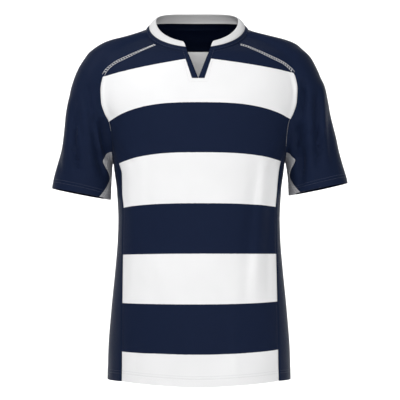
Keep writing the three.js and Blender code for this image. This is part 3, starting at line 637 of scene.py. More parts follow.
def sleeve_rows(sign, front, back, top_z, core):
    """Rows from the front seam over the outside to the back seam, as seen from a core that lies a
    distance in from the sleeve's outline on each row."""
    name = "outerRight" if sign < 0 else "outerLeft"
    top = onto(np.stack([sign * sleeve(name, top_z), sleeve("mid", top_z), top_z], -1))
    inward = (front + back) / 2 - top
    inward[:, 1] = 0
    centre = (top + unit(inward) * core[:, None])[:, None]
    to_top = unit(top[:, None] - centre)
    halves = []
    for seam in (front, back):
        directions = turned(to_top, unit(seam[:, None] - centre), AROUND)
        points = leaves(np.broadcast_to(centre, directions.shape), directions)
        points[:, -1] = seam
        halves.append(points)
    return np.concatenate([halves[0][:, ::-1], halves[1][:, 1:]], 1)


def sleeve_panel(sign):
    """The whole sleeve: the neck's arc, twelve steps to the armpit, then down to the cuff."""
    s = STEPS[BELOW]
    front, back = SEAMS[-1, sign][BELOW], SEAMS[1, sign][BELOW]
    rows = sleeve_rows(sign, front, back, raglan("topZ", s), raglan("core", s))
    angles = np.concatenate([RAGLAN_FRONT_ANGLE * AROUND[::-1], RAGLAN_BACK_ANGLE * AROUND[1:]])
    upper = neck_to_row(onto(ring_point(NECK["seam"], sign, angles)), rows)
    outer_x, outer_z, inner_x, _ = CUFFS[sign]
    down = CUFF_ROWS[1:]
    edge = INSERTS[sign][0][1:]
    top_z = mix(raglan("topZ", LAST_STEP), outer_z, down)
    core = mix(raglan("core", LAST_STEP), (outer_x - inner_x) / 2 + 1, down)
    lower = sleeve_rows(sign, edge[:, 0], edge[:, -1], top_z, core)
    points = np.concatenate([upper, lower])
    return points, np.ones((len(points) - 1, points.shape[1] - 1), bool)


GRIDS = {"front_panel": front_panel(), "back_panel": back_panel()}
for sign, side in ((-1, "right"), (1, "left")):
    GRIDS["side_panel_" + side] = side_panel(sign)
    GRIDS["sleeve_" + side] = sleeve_panel(sign)
    GRIDS["underarm_insert_" + side] = INSERTS[sign]
print({name: grid[0].shape[:2] for name, grid in GRIDS.items()})

# %% [markdown]
# ## From a grid to cloth
# A shell of cloth is its outside, the same points moved in by the thickness, and a rim along every
# open edge. Before that, small things move the outside: the creases, a seam that sinks where the
# needle pulled it down, and a hem that is turned up and so lies a little proud. Each is a formula of
# the distance to an edge, so the cloth's own lengths are measured along the grid first. They also
# become the UV map, in metres, on which the knit is drawn.

# %% Lengths along the cloth
def lengths(points):
    """u across, from the middle column, and v down from the first row, both along the cloth."""
    across = np.linalg.norm(np.diff(points, axis=1), axis=-1)
    down = np.linalg.norm(np.diff(points, axis=0), axis=-1)
    u = np.concatenate([np.zeros((len(points), 1)), across.cumsum(1)], 1)
    v = np.concatenate([np.zeros((1, points.shape[1])), down.cumsum(0)])
    return u - u[:, u.shape[1] // 2, None], v


# %% Seams sink, hems stand proud
SEAM_SINK, SEAM_WIDTH = 0.9, 2.4
HEM_DEEP, HEM_LINES, HEM_RAISE = 23, (16, 21), 0.4
CUFF_DEEP, CUFF_LINES = 21, (13, 19)
HEM_STEP, STITCH_DIP, STITCH_DIP_WIDTH = 1.2, 0.45, 0.9


def sunk(distance):
    """-SEAM_SINK exp(-(distance / SEAM_WIDTH)^2)"""
    return -SEAM_SINK * np.exp(-((distance / SEAM_WIDTH) ** 2))


def turned_hem(distance, deep, lines):
    """A rise of HEM_RAISE up to deep from the edge, and a narrow dip along each line of stitches."""
    rise = HEM_RAISE * (0.5 - 0.5 * np.tanh((distance - deep) / HEM_STEP))
    for line in lines:
        rise = rise - STITCH_DIP * np.exp(-(((distance - line) / STITCH_DIP_WIDTH) ** 2))
    return rise


def dressed(points, seams, hem=None):
    """The outside of the cloth: the grid moved along the form's direction by creases, seams and hem."""
    u, v = lengths(points)
    away = unit(slope(points))
    rise = fold_rise(points, CREASES)
    distances = {"top": v, "left": u - u[:, :1], "right": u[:, -1:] - u}
    for side in seams:
        rise += sunk(distances[side])
    if hem:
        rise += turned_hem(v[-1:] - v, *hem)
    return points + away * rise[..., None], away, u, v


# %% Make the shell
def shell_mesh(name, outer, inner, cells, uv, marks=None):
    """A closed shell from two grids: quads over the cells that are cloth, the same turned round on
    the inside, and a rim quad for every cell edge with cloth on one side only."""
    count = outer.shape[0] * outer.shape[1]
    number = np.arange(count).reshape(outer.shape[:2])
    a, b, c, d = number[:-1, :-1], number[:-1, 1:], number[1:, 1:], number[1:, :-1]
    row, column = cells.shape[0] // 2, cells.shape[1] // 2
    if not cells[row, column]:
        filled = np.argwhere(cells)
        row, column = filled[len(filled) // 2]
    p, q, r = outer[row, column], outer[row, column + 1], outer[row + 1, column + 1]
    outward = np.dot(np.cross(q - p, r - p), p - inner[row, column]) > 0
    if not outward:
        b, d = d, b
    quads = np.stack([a[cells], b[cells], c[cells], d[cells]], -1)
    padded = np.pad(cells, 1)
    above, below = ~padded[:-2, 1:-1], ~padded[2:, 1:-1]
    before, after = ~padded[1:-1, :-2], ~padded[1:-1, 2:]
    if outward:
        sides = [(above, a, b), (after, b, c), (below, c, d), (before, d, a)]
    else:
        sides = [(before, a, b), (below, b, c), (after, c, d), (above, d, a)]
    rims = np.concatenate([np.stack([f[open_ & cells], t[open_ & cells]], -1) for open_, f, t in sides])
    rim_quads = np.stack([rims[:, 1], rims[:, 0], rims[:, 0] + count, rims[:, 1] + count], -1)
    faces = np.concatenate([quads, quads[:, ::-1] + count, rim_quads])
    points = np.concatenate([outer.reshape(-1, 3), inner.reshape(-1, 3)]) * MM
    used, faces = np.unique(faces, return_inverse=True)
    faces = faces.reshape(-1, 4)
    mesh = bpy.data.meshes.new(name)
    mesh.vertices.add(len(used))
    mesh.vertices.foreach_set("co", points[used].ravel())
    mesh.loops.add(faces.size)
    mesh.loops.foreach_set("vertex_index", faces.ravel().astype(np.int32))
    mesh.polygons.add(len(faces))
    mesh.polygons.foreach_set("loop_start", np.arange(0, faces.size, 4, dtype=np.int32))
    mesh.update(calc_edges=True)
    flat = np.concatenate([uv.reshape(-1, 2)] * 2)[used]
    layer = mesh.uv_layers.new(name="cloth")
    layer.data.foreach_set("uv", flat[faces.ravel()].ravel())
    # The inside attribute marks the inner face, whose colour carries the painted shade and painted light of
    # the inside.
    carried = {"inside": np.repeat([0.0, 1.0], count)}
    if marks is not None:
        carried["hoop"] = np.tile(marks.ravel(), 2)
    for label, values in carried.items():
        attribute = mesh.attributes.new(label, "FLOAT", "POINT")
        attribute.data.foreach_set("value", values[used])
    mesh.shade_smooth()
    mesh.set_sharp_from_angle(angle=1.0)
    mesh.validate()
    return mesh


def new_piece(name, mesh, material):
    """A scene object for the mesh, which rides with the shirt and has one of its finishes."""
    piece = bpy.data.objects.new(name, mesh)
    bpy.context.scene.collection.objects.link(piece)
    mesh.materials.append(material)
    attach(piece, "root")
    return piece

# %% [markdown]
# ## The cloth's finishes
# The shirt is a knitted jersey with a faint sheen. One node group draws the knit from the UV map, in
# metres: columns of small V-shaped loops, which a Bump node then raises. A second one decides where
# the navy hoops lie, from a number that each point of the cloth carries. Each material sets its two
# colours, one for the outside and one for the cloth's inside face, with a slow unevenness from noise.
# The inside colours are painted shade on the navy cloth and the band, which are darker inside, and
# painted light on the white, which is lighter inside.

# %% Helpers for node groups
def new_group(name, inputs, outputs):
    """An empty shader node group with named sockets, and its input and output nodes."""
    tree = bpy.data.node_groups.new(name, "ShaderNodeTree")
    for label, kind, value in inputs:
        socket = tree.interface.new_socket(name=label, in_out="INPUT", socket_type=kind)
        if value is not None:
            socket.default_value = value
    for label, kind in outputs:
        tree.interface.new_socket(name=label, in_out="OUTPUT", socket_type=kind)
    return tree, tree.nodes.new("NodeGroupInput"), tree.nodes.new("NodeGroupOutput")


def sum_of(tree, operation, *values):
    """A Math node: sockets are linked, numbers are set."""
    node = tree.nodes.new("ShaderNodeMath")
    node.operation = operation
    for socket, value in zip(node.inputs, values):
        if isinstance(value, bpy.types.NodeSocket):
            tree.links.new(value, socket)
        else:
            socket.default_value = value
    return node.outputs[0]


# %% The jersey's loops: height = sin(pi frac(x)) + 0.6 sin(2 pi (y + 0.45 |2 frac(x) - 1|))
def jersey_knit():
    """x and y count loops across and down the cloth."""
    sockets = [("Cloth", "NodeSocketVector", None), ("Loop Width", "NodeSocketFloat", 0.0012)]
    tree, start, end = new_group("jersey_knit", sockets, [("Height", "NodeSocketFloat")])
    parts = tree.nodes.new("ShaderNodeSeparateXYZ")
    tree.links.new(start.outputs["Cloth"], parts.inputs[0])
    width = start.outputs["Loop Width"]
    x = sum_of(tree, "DIVIDE", parts.outputs["X"], width)
    y = sum_of(tree, "DIVIDE", parts.outputs["Y"], sum_of(tree, "MULTIPLY", width, 0.8))
    column = sum_of(tree, "FRACT", x)
    arch = sum_of(tree, "SINE", sum_of(tree, "MULTIPLY", column, np.pi))
    lean = sum_of(tree, "ABSOLUTE", sum_of(tree, "MULTIPLY_ADD", column, 2, -1))
    phase = sum_of(tree, "MULTIPLY_ADD", lean, 0.45, y)
    loops = sum_of(tree, "SINE", sum_of(tree, "MULTIPLY", phase, 2 * np.pi))
    tree.links.new(sum_of(tree, "MULTIPLY_ADD", loops, 0.6, arch), end.inputs["Height"])
    return tree


# %% Where the hoops are navy: hoop numbers with an even whole part
def hoop_dye():
    """Navy is 1 where floor(hoop) is even, and each edge wanders a little, as knitted rows do."""
    sockets = [("Hoop", "NodeSocketFloat", 0.5), ("Cloth", "NodeSocketVector", None)]
    tree, start, end = new_group("hoop_dye", sockets, [("Navy", "NodeSocketFloat")])
    noise = tree.nodes.new("ShaderNodeTexNoise")
    noise.inputs["Scale"].default_value = 260
    tree.links.new(start.outputs["Cloth"], noise.inputs["Vector"])
    wander = sum_of(tree, "MULTIPLY_ADD", noise.outputs[0], 0.01, -0.005)
    hoop = sum_of(tree, "FLOOR", sum_of(tree, "ADD", start.outputs["Hoop"], wander))
    odd = sum_of(tree, "FLOORED_MODULO", hoop, 2)
    tree.links.new(sum_of(tree, "SUBTRACT", 1, odd), end.inputs["Navy"])
    return tree


# %% Uneven dye: slow patches and fine flecks round 1
def uneven_dye():
    """Shade = 1 + Amount * ((slow - 0.5) + 0.5 (fine - 0.5)) * 2"""
    sockets = [("Cloth", "NodeSocketVector", None), ("Amount", "NodeSocketFloat", 0.05)]
    tree, start, end = new_group("uneven_dye", sockets, [("Shade", "NodeSocketFloat")])
    parts = []
    for scale in (9, 900):
        noise = tree.nodes.new("ShaderNodeTexNoise")
        noise.inputs["Scale"].default_value = scale
        tree.links.new(start.outputs["Cloth"], noise.inputs["Vector"])
        parts.append(sum_of(tree, "SUBTRACT", noise.outputs[0], 0.5))
    both = sum_of(tree, "MULTIPLY_ADD", parts[1], 0.5, parts[0])
    shade = sum_of(tree, "MULTIPLY_ADD", sum_of(tree, "MULTIPLY", both, 2), start.outputs["Amount"], 1)
    tree.links.new(shade, end.inputs["Shade"])
    return tree


KNIT, HOOPS, UNEVEN = jersey_knit(), hoop_dye(), uneven_dye()

# %% Colours of cloth and thread, as light
NAVY = (0.0078, 0.0132, 0.034)
# Painted shade: the navy cloth's inside face is darkened to stand for the shade inside the shirt.
NAVY_INSIDE_PAINTED_SHADE = (0.0008, 0.0028, 0.0105)
WHITE = (0.77, 0.77, 0.775)
# Painted light: the white cloth's inside face is lighter than its outside, to stand for light falling into
# the shirt through the V.
WHITE_INSIDE_PAINTED_LIGHT = (0.93, 0.93, 0.935)
BAND_WHITE = (0.69, 0.69, 0.695)
# Painted shade: the band's inside face is greyer than its outside, to stand for the shade inside the collar.
BAND_INSIDE_PAINTED_SHADE = (0.47, 0.47, 0.475)
GREY = (0.33, 0.33, 0.345)
THREAD = (0.7, 0.7, 0.71)
FIBRE_TINT = (0.72, 0.8, 1, 1)
FIBRE_ROUGHNESS = 0.45
DULL_SPECULAR = 0.02
LOOP_DEPTH = 0.0003


# %% One recipe for every cloth
def cloth_material(name, colour, inside_shade_and_light, rough, sheen, loop=0.0012, bump=0.25, uneven=0.05, hoops=False):
    """A Principled surface: the colour outside, and on the cloth's inside face another one, which is
    painted shade where it is darker and painted light where it is lighter, times the uneven dye, with
    the knit as bump, and a soft sheen from the fibres that stand up."""
    material = bpy.data.materials.new(name)
    material.use_nodes = True
    tree = material.node_tree
    shader = tree.nodes["Principled BSDF"]
    shader.inputs["Roughness"].default_value = rough
    shader.inputs["Sheen Weight"].default_value = sheen
    shader.inputs["Sheen Roughness"].default_value = FIBRE_ROUGHNESS
    shader.inputs["Sheen Tint"].default_value = FIBRE_TINT
    shader.inputs["Specular IOR Level"].default_value = DULL_SPECULAR
    uv = tree.nodes.new("ShaderNodeUVMap")
    uv.uv_map = "cloth"

    def group(kind, **values):
        node = tree.nodes.new("ShaderNodeGroup")
        node.node_tree = kind
        tree.links.new(uv.outputs[0], node.inputs["Cloth"])
        for label, value in values.items():
            node.inputs[label.replace("_", " ")].default_value = value
        return node

    def mixed(blend, factor, a, b):
        node = tree.nodes.new("ShaderNodeMix")
        node.data_type = "RGBA"
        node.blend_type = blend
        for socket, value in ((node.inputs[0], factor), (node.inputs[6], a), (node.inputs[7], b)):
            if isinstance(value, bpy.types.NodeSocket):
                tree.links.new(value, socket)
            else:
                socket.default_value = value
        return node.outputs[2]

    def carried(attribute):
        node = tree.nodes.new("ShaderNodeAttribute")
        node.attribute_name = attribute
        return node.outputs["Fac"]

    # The inside attribute gives the inner face its own colour: painted shade on the navy cloth and the band,
    # painted light on the white.
    inside = carried("inside")
    paint = mixed("MIX", inside, (*colour, 1), (*inside_shade_and_light, 1))
    if hoops:
        dye = group(HOOPS)
        tree.links.new(carried("hoop"), dye.inputs["Hoop"])
        # The navy hoops' inside face gets the same painted shade as the navy cloth.
        navy = mixed("MIX", inside, (*NAVY, 1), (*NAVY_INSIDE_PAINTED_SHADE, 1))
        paint = mixed("MIX", dye.outputs["Navy"], paint, navy)
    shade = group(UNEVEN, Amount=uneven).outputs["Shade"]
    tree.links.new(mixed("MULTIPLY", 1.0, paint, shade), shader.inputs["Base Color"])
    raised = tree.nodes.new("ShaderNodeBump")
    raised.inputs["Strength"].default_value = bump
    raised.inputs["Distance"].default_value = LOOP_DEPTH
    tree.links.new(group(KNIT, Loop_Width=loop).outputs["Height"], raised.inputs["Height"])
    tree.links.new(raised.outputs[0], shader.inputs["Normal"])
    return material


FINISH = {
    "hooped_cloth": cloth_material("hooped_jersey", WHITE, WHITE_INSIDE_PAINTED_LIGHT, 0.5, 0.02, hoops=True),
    "navy_cloth": cloth_material("navy_jersey", NAVY, NAVY_INSIDE_PAINTED_SHADE, 0.42, 0.02, uneven=0.12),
    "grey_insert": cloth_material("grey_jersey", GREY, GREY, 0.75, 0.05, loop=0.0016, bump=0.4),
    "white_band": cloth_material("white_rib", BAND_WHITE, BAND_INSIDE_PAINTED_SHADE, 0.8, 0.03, loop=0.0018, bump=0.35),
}

# %% [markdown]
# ## The hoops
# The hoops are knitted straight across the cloth, but they sag to the sides on the chest, where the
# cloth turns away over the arm. The edges between them are rows of a table: the height in the middle,
# and how far it has come down at each side. A point's hoop number counts the edges above it.

# %% The edges of the hoops on the front and the back
FRONT_HOOPS = table("middle right left start reach power", [
    [-86, -115, -108, 24, 192, 1],
    [-175.4, -207, -200.7, 0, 185, 3],
    [-274.8, -292, -285.6, 0, 165, 3],
    [-374.8, -381.8, -379.3, 0, 160, 3],
    [-474.3, -476.7, -474.9, 0, 160, 2],
    [-574.1, -573.9, -571, 0, 160, 2],
    [-672.2, -670.4, -667.2, 0, 160, 2],
])
BACK_HOOPS = table("middle right left start reach power", [
    [-32, -46, -44, 10, 150, 2],
    [-132, -148, -146, 0, 185, 2.5],
    [-232, -244, -242, 0, 175, 3],
    [-332, -338, -337, 0, 160, 3],
    [-432, -435, -434, 0, 160, 2],
    [-532, -533, -532, 0, 160, 2],
    [-632, -631, -630, 0, 160, 2],
])


def hoop_number(points, hoops):
    """The sum over the gaps between edges of clip((edge above - z) / (edge above - edge below), 0, 1),
    each edge at mix(middle, side, clip((|x| - start) / (reach - start), 0, 1.2)^power)."""
    x, z = points[..., 0, None], points[..., 2, None]
    side = np.where(x < 0, hoops["right"], hoops["left"])
    share = np.clip((np.abs(x) - hoops["start"]) / (hoops["reach"] - hoops["start"]), 0, 1.2)
    edges = mix(hoops["middle"], side, share ** hoops["power"])
    edges = np.concatenate([edges[..., :1] + 100, edges, edges[..., -1:] - 200], -1)
    above, below = edges[..., :-1], edges[..., 1:]
    return np.clip((above - z) / (above - below), 0, 1).sum(-1)


# %% [markdown]
# ## The panels as cloth
# Each panel replaces its solid, with the same seams. Its flat size, before it was sewn into a shirt
# and filled out, is the size that its pattern piece needs on the roll.

# %% What each panel is cut from, and where its seams and hem are
CLOTH = 1.4
BODY_HEM = (HEM_DEEP, HEM_LINES)
CUFF_HEM = (CUFF_DEEP, CUFF_LINES)
PANELS = {
    "front_panel": dict(slot="hooped_cloth", seams=("top", "left", "right"), hem=BODY_HEM, hoops=FRONT_HOOPS,
                        flat=(0.50, 0.72), area=0.245, rests_on=["sleeve_right", "sleeve_left"]),
    "back_panel": dict(slot="hooped_cloth", seams=("top", "left", "right"), hem=BODY_HEM, hoops=BACK_HOOPS,
                       flat=(0.49, 0.77), area=0.262, rests_on=["sleeve_right", "sleeve_left"]),
}
for side in ("right", "left"):
    PANELS["side_panel_" + side] = dict(
        slot="navy_cloth", seams=("top", "left", "right"), hem=BODY_HEM, flat=(0.16, 0.48), area=0.061,
        rests_on=["front_panel", "back_panel"])
    PANELS["sleeve_" + side] = dict(
        slot="navy_cloth", seams=("top", "left", "right"), hem=CUFF_HEM, flat=(0.42, 0.38), area=0.103,
        rests_on=["neck_trim"])
    PANELS["underarm_insert_" + side] = dict(
        slot="grey_insert", seams=("top", "left", "right"), hem=CUFF_HEM, flat=(0.09, 0.10), area=0.0058,
        rests_on=["sleeve_" + side])

# %% Make them
CLOTHS = {}
for name, cut in PANELS.items():
    points, cells = GRIDS[name]
    outer, away, u, v = dressed(points, cut["seams"], cut["hem"])
    marks = hoop_number(points, cut["hoops"]) if "hoops" in cut else None
    mesh = shell_mesh(name + "_cloth", outer, outer - away * CLOTH, cells, np.stack([u, v], -1) * MM, marks)
    piece = new_piece(name + "_cloth", mesh, FINISH[cut["slot"]])
    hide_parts(name)
    CLOTHS[name] = dict(outer=outer, away=away, u=u, v=v)
    print(name, "faces", len(mesh.polygons), "m2", round(sum(p.area for p in mesh.polygons) / 2, 4))

# %% [markdown]
# ## The neck
# A narrow navy strip is sewn round the neck hole, and a low white band, folded double, stands on it.
# Both follow three tilted ovals. A folded edge is round, so the band's wall closes in a half circle
# at its top, and its two front corners are cut away in a curve.

# %% The neck's columns, from one edge of the V round the back to the other
NECK_COLUMNS = 130


def neck_lines():
    """For each column: its point on the three rings, and the cloth's outward direction at each."""
    lines = {"seam": [], "joint": [], "top": []}
    for sign in (-1, 1):
        first = ring_angle(NECK["seam"], sign, V_MOUTH_HALF)
        share = np.concatenate([np.linspace(0, 0.04, 16), np.linspace(0.04, 1, NECK_COLUMNS - 15)[1:]])
        angle = mix(first, 90, share)
        joint = mix(ring_angle(NECK["joint"], sign, 25.5), 90, share)
        top = mix(ring_angle(NECK["top"], sign, 30), 90, share)
        lines["seam"].append(onto(ring_point(NECK["seam"], sign, angle)))
        lines["joint"].append(ring_point(NECK["joint"], sign, joint))
        lines["top"].append(ring_point(NECK["top"], sign, top))
    return {name: np.concatenate([right, left[-2::-1]]) for name, (right, left) in lines.items()}


def neck_directions(lines):
    """Out of the cloth: at the seam the form's slope, above it across the ring and up the wall."""
    along = np.gradient(lines["joint"], axis=0)
    seam = unit(slope(lines["seam"]))
    joint = unit(np.cross(lines["top"] - lines["seam"], along))
    top = unit(np.cross(lines["top"] - lines["joint"], along))
    joint *= np.sign((joint * seam).sum(-1, keepdims=True))
    top *= np.sign((top * joint).sum(-1, keepdims=True))
    return {"seam": seam, "joint": joint, "top": top}


RINGS = neck_lines()
OUT = neck_directions(RINGS)
round_neck = np.linalg.norm(np.diff(RINGS["joint"], axis=0), axis=-1).cumsum()
ROUND = np.concatenate([[0], round_neck])
print("round the neck", round(float(ROUND[-1])), "mm")


# %% A strip of the neck between two rings
def neck_strip(low, high, rows, bulge):
    """mix(low, high, t) + 4 t (1 - t) bulge * out, with t from 0 at the low ring to 1 at the high."""
    t = rows[:, None, None]
    out = unit(mix(OUT[low][None], OUT[high][None], t))
    return mix(RINGS[low][None], RINGS[high][None], t) + 4 * t * (1 - t) * bulge * out, out


def neck_piece(name, low, high, rows, bulge, thick, round_top, slot, sink, corner=0):
    """The strip as a closed wall. Its thickness is times sqrt(1 - e^2) at a folded edge, where e goes
    from 0 to 1 over the last round_top of the height."""
    points, out = neck_strip(low, high, rows, bulge)
    if corner:
        end = np.minimum(ROUND, ROUND[-1] - ROUND)
        cut = np.sqrt(np.clip(1 - np.clip(1 - end / corner, 0, 1) ** 2, 0, 1))
        points = points[:1] + (points - points[:1]) * mix(0.75, 1, cut)[None, :, None]
    height = np.linalg.norm(points - points[:1], axis=-1)
    e = np.clip((rows - (1 - round_top)) / round_top, 0, 1)
    wall = np.sqrt(np.clip(1 - e**2, 0.02, 1))[:, None, None] * thick / 2
    dip = sunk(height)[..., None] * sink
    middle = points - out * thick / 2 + out * dip
    uv = np.stack([np.broadcast_to(ROUND, height.shape), height], -1) * MM
    cells = np.ones((len(rows) - 1, len(ROUND) - 1), bool)
    mesh = shell_mesh(name + "_cloth", middle + out * wall, middle - out * wall, cells, uv)
    piece = new_piece(name + "_cloth", mesh, FINISH[slot])
    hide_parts(name)
    print(name, "faces", len(mesh.polygons), "m2", round(sum(p.area for p in mesh.polygons) / 2, 4))
    return middle + out * wall, out


TRIM_ROWS = np.linspace(0, 1, 13)
BAND_ROWS = np.concatenate([np.linspace(0, 0.82, 12), 0.82 + 0.18 * np.sin(np.linspace(0, np.pi / 2, 9))[1:]])
TRIM, TRIM_OUT = neck_piece("neck_trim", "seam", "joint", TRIM_ROWS, 0.5, 1.8, 0.08, "navy_cloth", 0.6)
neck_piece("collar_band", "joint", "top", BAND_ROWS, 1.5, 3.0, 0.18, "white_band", 0.5, corner=3)


# %% [markdown]
# ## The V's binding
# Each edge of the V is bound with a folded navy strip. It lies on the front, a little raised, round
# at its folded inner edge and stitched down along the outer one.

# %% The strips
def v_edges(s):
    """Half widths of the strip's outer and inner edge, and the height, on a step of the V."""
    t = s / V_ROWS_END
    z = mix(NECK["seam"]["front_z"] + 2, V_POINT_Z, t)
    return mix(V_TOP_HALF, V_BOTTOM_HALF, t), mix(V_MOUTH_HALF, 0, t), z


STRIP_ACROSS = (1 - np.cos(np.linspace(0, np.pi, 13))) / 2
STRIP_CLOTH, STRIP_RAISE = 2.0, 0.6


def placket_strip(sign):
    """Across, from the inner edge at 0 to the outer at 1; the wall closes over the first fifth."""
    s = V_ROWS
    outer, inner, z = v_edges(s)
    half = mix(inner[:, None], outer[:, None], STRIP_ACROSS)
    rows = on_face(-1, V_CENTRE + sign * half, np.broadcast_to(z[:, None], half.shape))
    inner_angle, outer_angle = (ring_angle(NECK["seam"], sign, at) for at in (V_MOUTH_HALF, V_TOP_HALF))
    angles = mix(inner_angle, outer_angle, STRIP_ACROSS)
    return neck_to_row(onto(ring_point(NECK["seam"], sign, angles)), rows)


STRIPS = {}
for sign, side in ((-1, "right"), (1, "left")):
    points = placket_strip(sign)
    away = unit(slope(points))
    u, v = lengths(points)
    e = np.clip(1 - STRIP_ACROSS / 0.2, 0, 1)
    wall = np.sqrt(np.clip(1 - e**2, 0.02, 1))[None, :, None] * STRIP_CLOTH / 2
    crown = 0.35 * np.sin(np.pi * STRIP_ACROSS)[None, :, None]
    middle = points + away * (STRIP_RAISE - STRIP_CLOTH / 2)
    name = "placket_strip_" + side
    mesh = shell_mesh(name + "_cloth", middle + away * (wall + crown), middle - away * wall,
                      np.ones((len(points) - 1, points.shape[1] - 1), bool), np.stack([u, v], -1) * MM)
    new_piece(name + "_cloth", mesh, FINISH["navy_cloth"])
    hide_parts(name)
    STRIPS[sign] = dict(outer=middle + away * (wall + crown), away=away, u=u, v=v)
    print(name, "faces", len(mesh.polygons), "m2", round(sum(p.area for p in mesh.polygons) / 2, 5))

# %% [markdown]
# ## The sewing
# Stitches are what tells a sewn shirt from a moulded one. Straight stitches are short tubes that dive
# into the cloth at both ends, set along a line. The raglan seams are flat seams: a pale band of thread
# laid over the join, with crossing threads between two edge threads. All are computed as arrays, one
# mesh for a line of any length.

# %% Follow a line on the cloth
def line_at(cloth, field, value):
    """Down each column, the first place where the field reaches the value, between two rows: points
    and directions are mixed by the same share."""
    past = field >= value
    row = np.clip(past.argmax(0), 1, len(field) - 1)
    column = np.arange(field.shape[1])
    low, high = field[row - 1, column], field[row, column]
    share = ((value - low) / np.where(high > low, high - low, 1))[:, None]
    at = [mix(cloth[k][row - 1, column], cloth[k][row, column], share) for k in ("outer", "away")]
    return at[0], unit(at[1])


def along_line(points, away, distances):
    """The points and directions at given distances along a line, by straight interpolation."""
    steps = np.linalg.norm(np.diff(points, axis=0), axis=-1)
    run = np.concatenate([[0], steps.cumsum()])
    place = np.stack([np.interp(distances, run, points[:, k]) for k in range(3)], -1)
    direction = np.stack([np.interp(distances, run, away[:, k]) for k in range(3)], -1)
    return place, unit(direction)


def line_length(points):
    return float(np.linalg.norm(np.diff(points, axis=0), axis=-1).sum())


# %% Tubes of thread
SIDES = 6


def thread_mesh(name, runs):
    """Each run is (centres, directions, radii) for many threads at once, shaped (threads, rings, 3).
    A ring is centre + radius (cos a * side + sin a * direction); its ends are closed by small caps."""
    all_points, all_faces, count = [], [], 0
    angle = np.arange(SIDES) * 2 * np.pi / SIDES
    for centres, directions, radii in runs:
        tangent = unit(np.gradient(centres, axis=1))
        side = unit(np.cross(tangent, directions))
        up = np.cross(side, tangent)
        ring = np.cos(angle)[:, None] * side[:, :, None] + np.sin(angle)[:, None] * up[:, :, None]
        points = centres[:, :, None] + ring * radii[None, :, None, None]
        threads, rings = centres.shape[:2]
        number = np.arange(threads * rings * SIDES).reshape(threads, rings, SIDES) + count
        a, b = number[:, :-1], number[:, 1:]
        faces = np.stack([a, np.roll(a, -1, 2), np.roll(b, -1, 2), b], -1).reshape(-1, 4)
        first, last = number[:, 0, ::-1], number[:, -1]
        halves = ([0, 1, 2, 3], [3, 4, 5, 0])
        ends = np.concatenate([end[:, half] for end in (first, last) for half in halves])
        all_points.append(points.reshape(-1, 3))
        all_faces += [faces, ends]
        count += threads * rings * SIDES
    points, faces = np.concatenate(all_points) * MM, np.concatenate(all_faces)
    mesh = bpy.data.meshes.new(name)
    mesh.vertices.add(len(points))
    mesh.vertices.foreach_set("co", points.ravel())
    mesh.loops.add(faces.size)
    mesh.loops.foreach_set("vertex_index", faces.ravel().astype(np.int32))
    mesh.polygons.add(len(faces))
    mesh.polygons.foreach_set("loop_start", np.arange(0, faces.size, 4, dtype=np.int32))
    mesh.update(calc_edges=True)
    mesh.shade_smooth()
    mesh.validate()
    return mesh


def stitches(points, away, pitch=3.4, length=2.7, radius=0.24, lift=0.1):
    """Straight stitches: from s to s + length at every pitch, each an arch lift + 0.3 sin high."""
    count = int(line_length(points) // pitch)
    share = np.linspace(0, 1, 5)
    distances = np.arange(count)[:, None] * pitch + share * length
    place, direction = along_line(points, away, distances)
    arch = lift - 0.35 + 0.45 * np.sin(np.pi * share)
    return place + direction * arch[None, :, None], direction, radius * np.array([0.5, 1, 1, 1, 0.5])


def cross_threads(points, away, width, pitch, radius, slant):
    """Threads across a flat seam: from one edge to the other while going slant along it, arched."""
    tangent = unit(np.gradient(points, axis=0))
    across = unit(np.cross(tangent, away))
    count = int((line_length(points) - abs(slant)) // pitch)
    share = np.linspace(0, 1, 6)
    start = np.arange(count)[:, None] * pitch + max(0, -slant)
    distances = start + share * slant
    place, direction = along_line(points, away, distances)
    steps = np.linalg.norm(np.diff(points, axis=0), axis=-1)
    run = np.concatenate([[0], steps.cumsum()])
    sideways = unit(np.stack([np.interp(distances, run, across[:, k]) for k in range(3)], -1))
    place = place + sideways * ((share - 0.5) * width)[None, :, None]
    arch = 0.25 + 0.3 * np.sin(np.pi * share)
    return place + direction * arch[None, :, None], direction, np.full(6, radius)


def solid_thread(points, away, offset, radius, lift, spacing=1.6):
    """One unbroken thread beside the line, at a sideways offset."""
    tangent = unit(np.gradient(points, axis=0))
    across = unit(np.cross(tangent, away))
    moved = points + across * offset
    place, direction = along_line(moved, away, np.arange(0, line_length(moved), spacing))
    return (place + direction * lift)[None], direction[None], np.full(len(place), radius)


# %% Threads of three colours
def thread_material(name, colour, rough=0.6):
    """Twisted thread: its colour broken by a fine noise, and a little sheen."""
    material = bpy.data.materials.new(name)
    material.use_nodes = True
    tree = material.node_tree
    shader = tree.nodes["Principled BSDF"]
    shader.inputs["Roughness"].default_value = rough
    shader.inputs["Sheen Weight"].default_value = 0.2
    place = tree.nodes.new("ShaderNodeTexCoord")
    shade = tree.nodes.new("ShaderNodeGroup")
    shade.node_tree = UNEVEN
    shade.inputs["Amount"].default_value = 0.25
    tree.links.new(place.outputs["Object"], shade.inputs["Cloth"])
    mixed = tree.nodes.new("ShaderNodeMix")
    mixed.data_type = "RGBA"
    mixed.blend_type = "MULTIPLY"
    mixed.inputs[0].default_value = 1
    mixed.inputs[6].default_value = (*colour, 1)
    tree.links.new(shade.outputs["Shade"], mixed.inputs[7])
    tree.links.new(mixed.outputs[2], shader.inputs["Base Color"])
    return material


PALE_THREAD = thread_material("pale_thread", THREAD)
WHITE_THREAD = thread_material("white_thread", (0.46, 0.46, 0.47))
NAVY_THREAD = thread_material("navy_thread", (0.02, 0.027, 0.055))


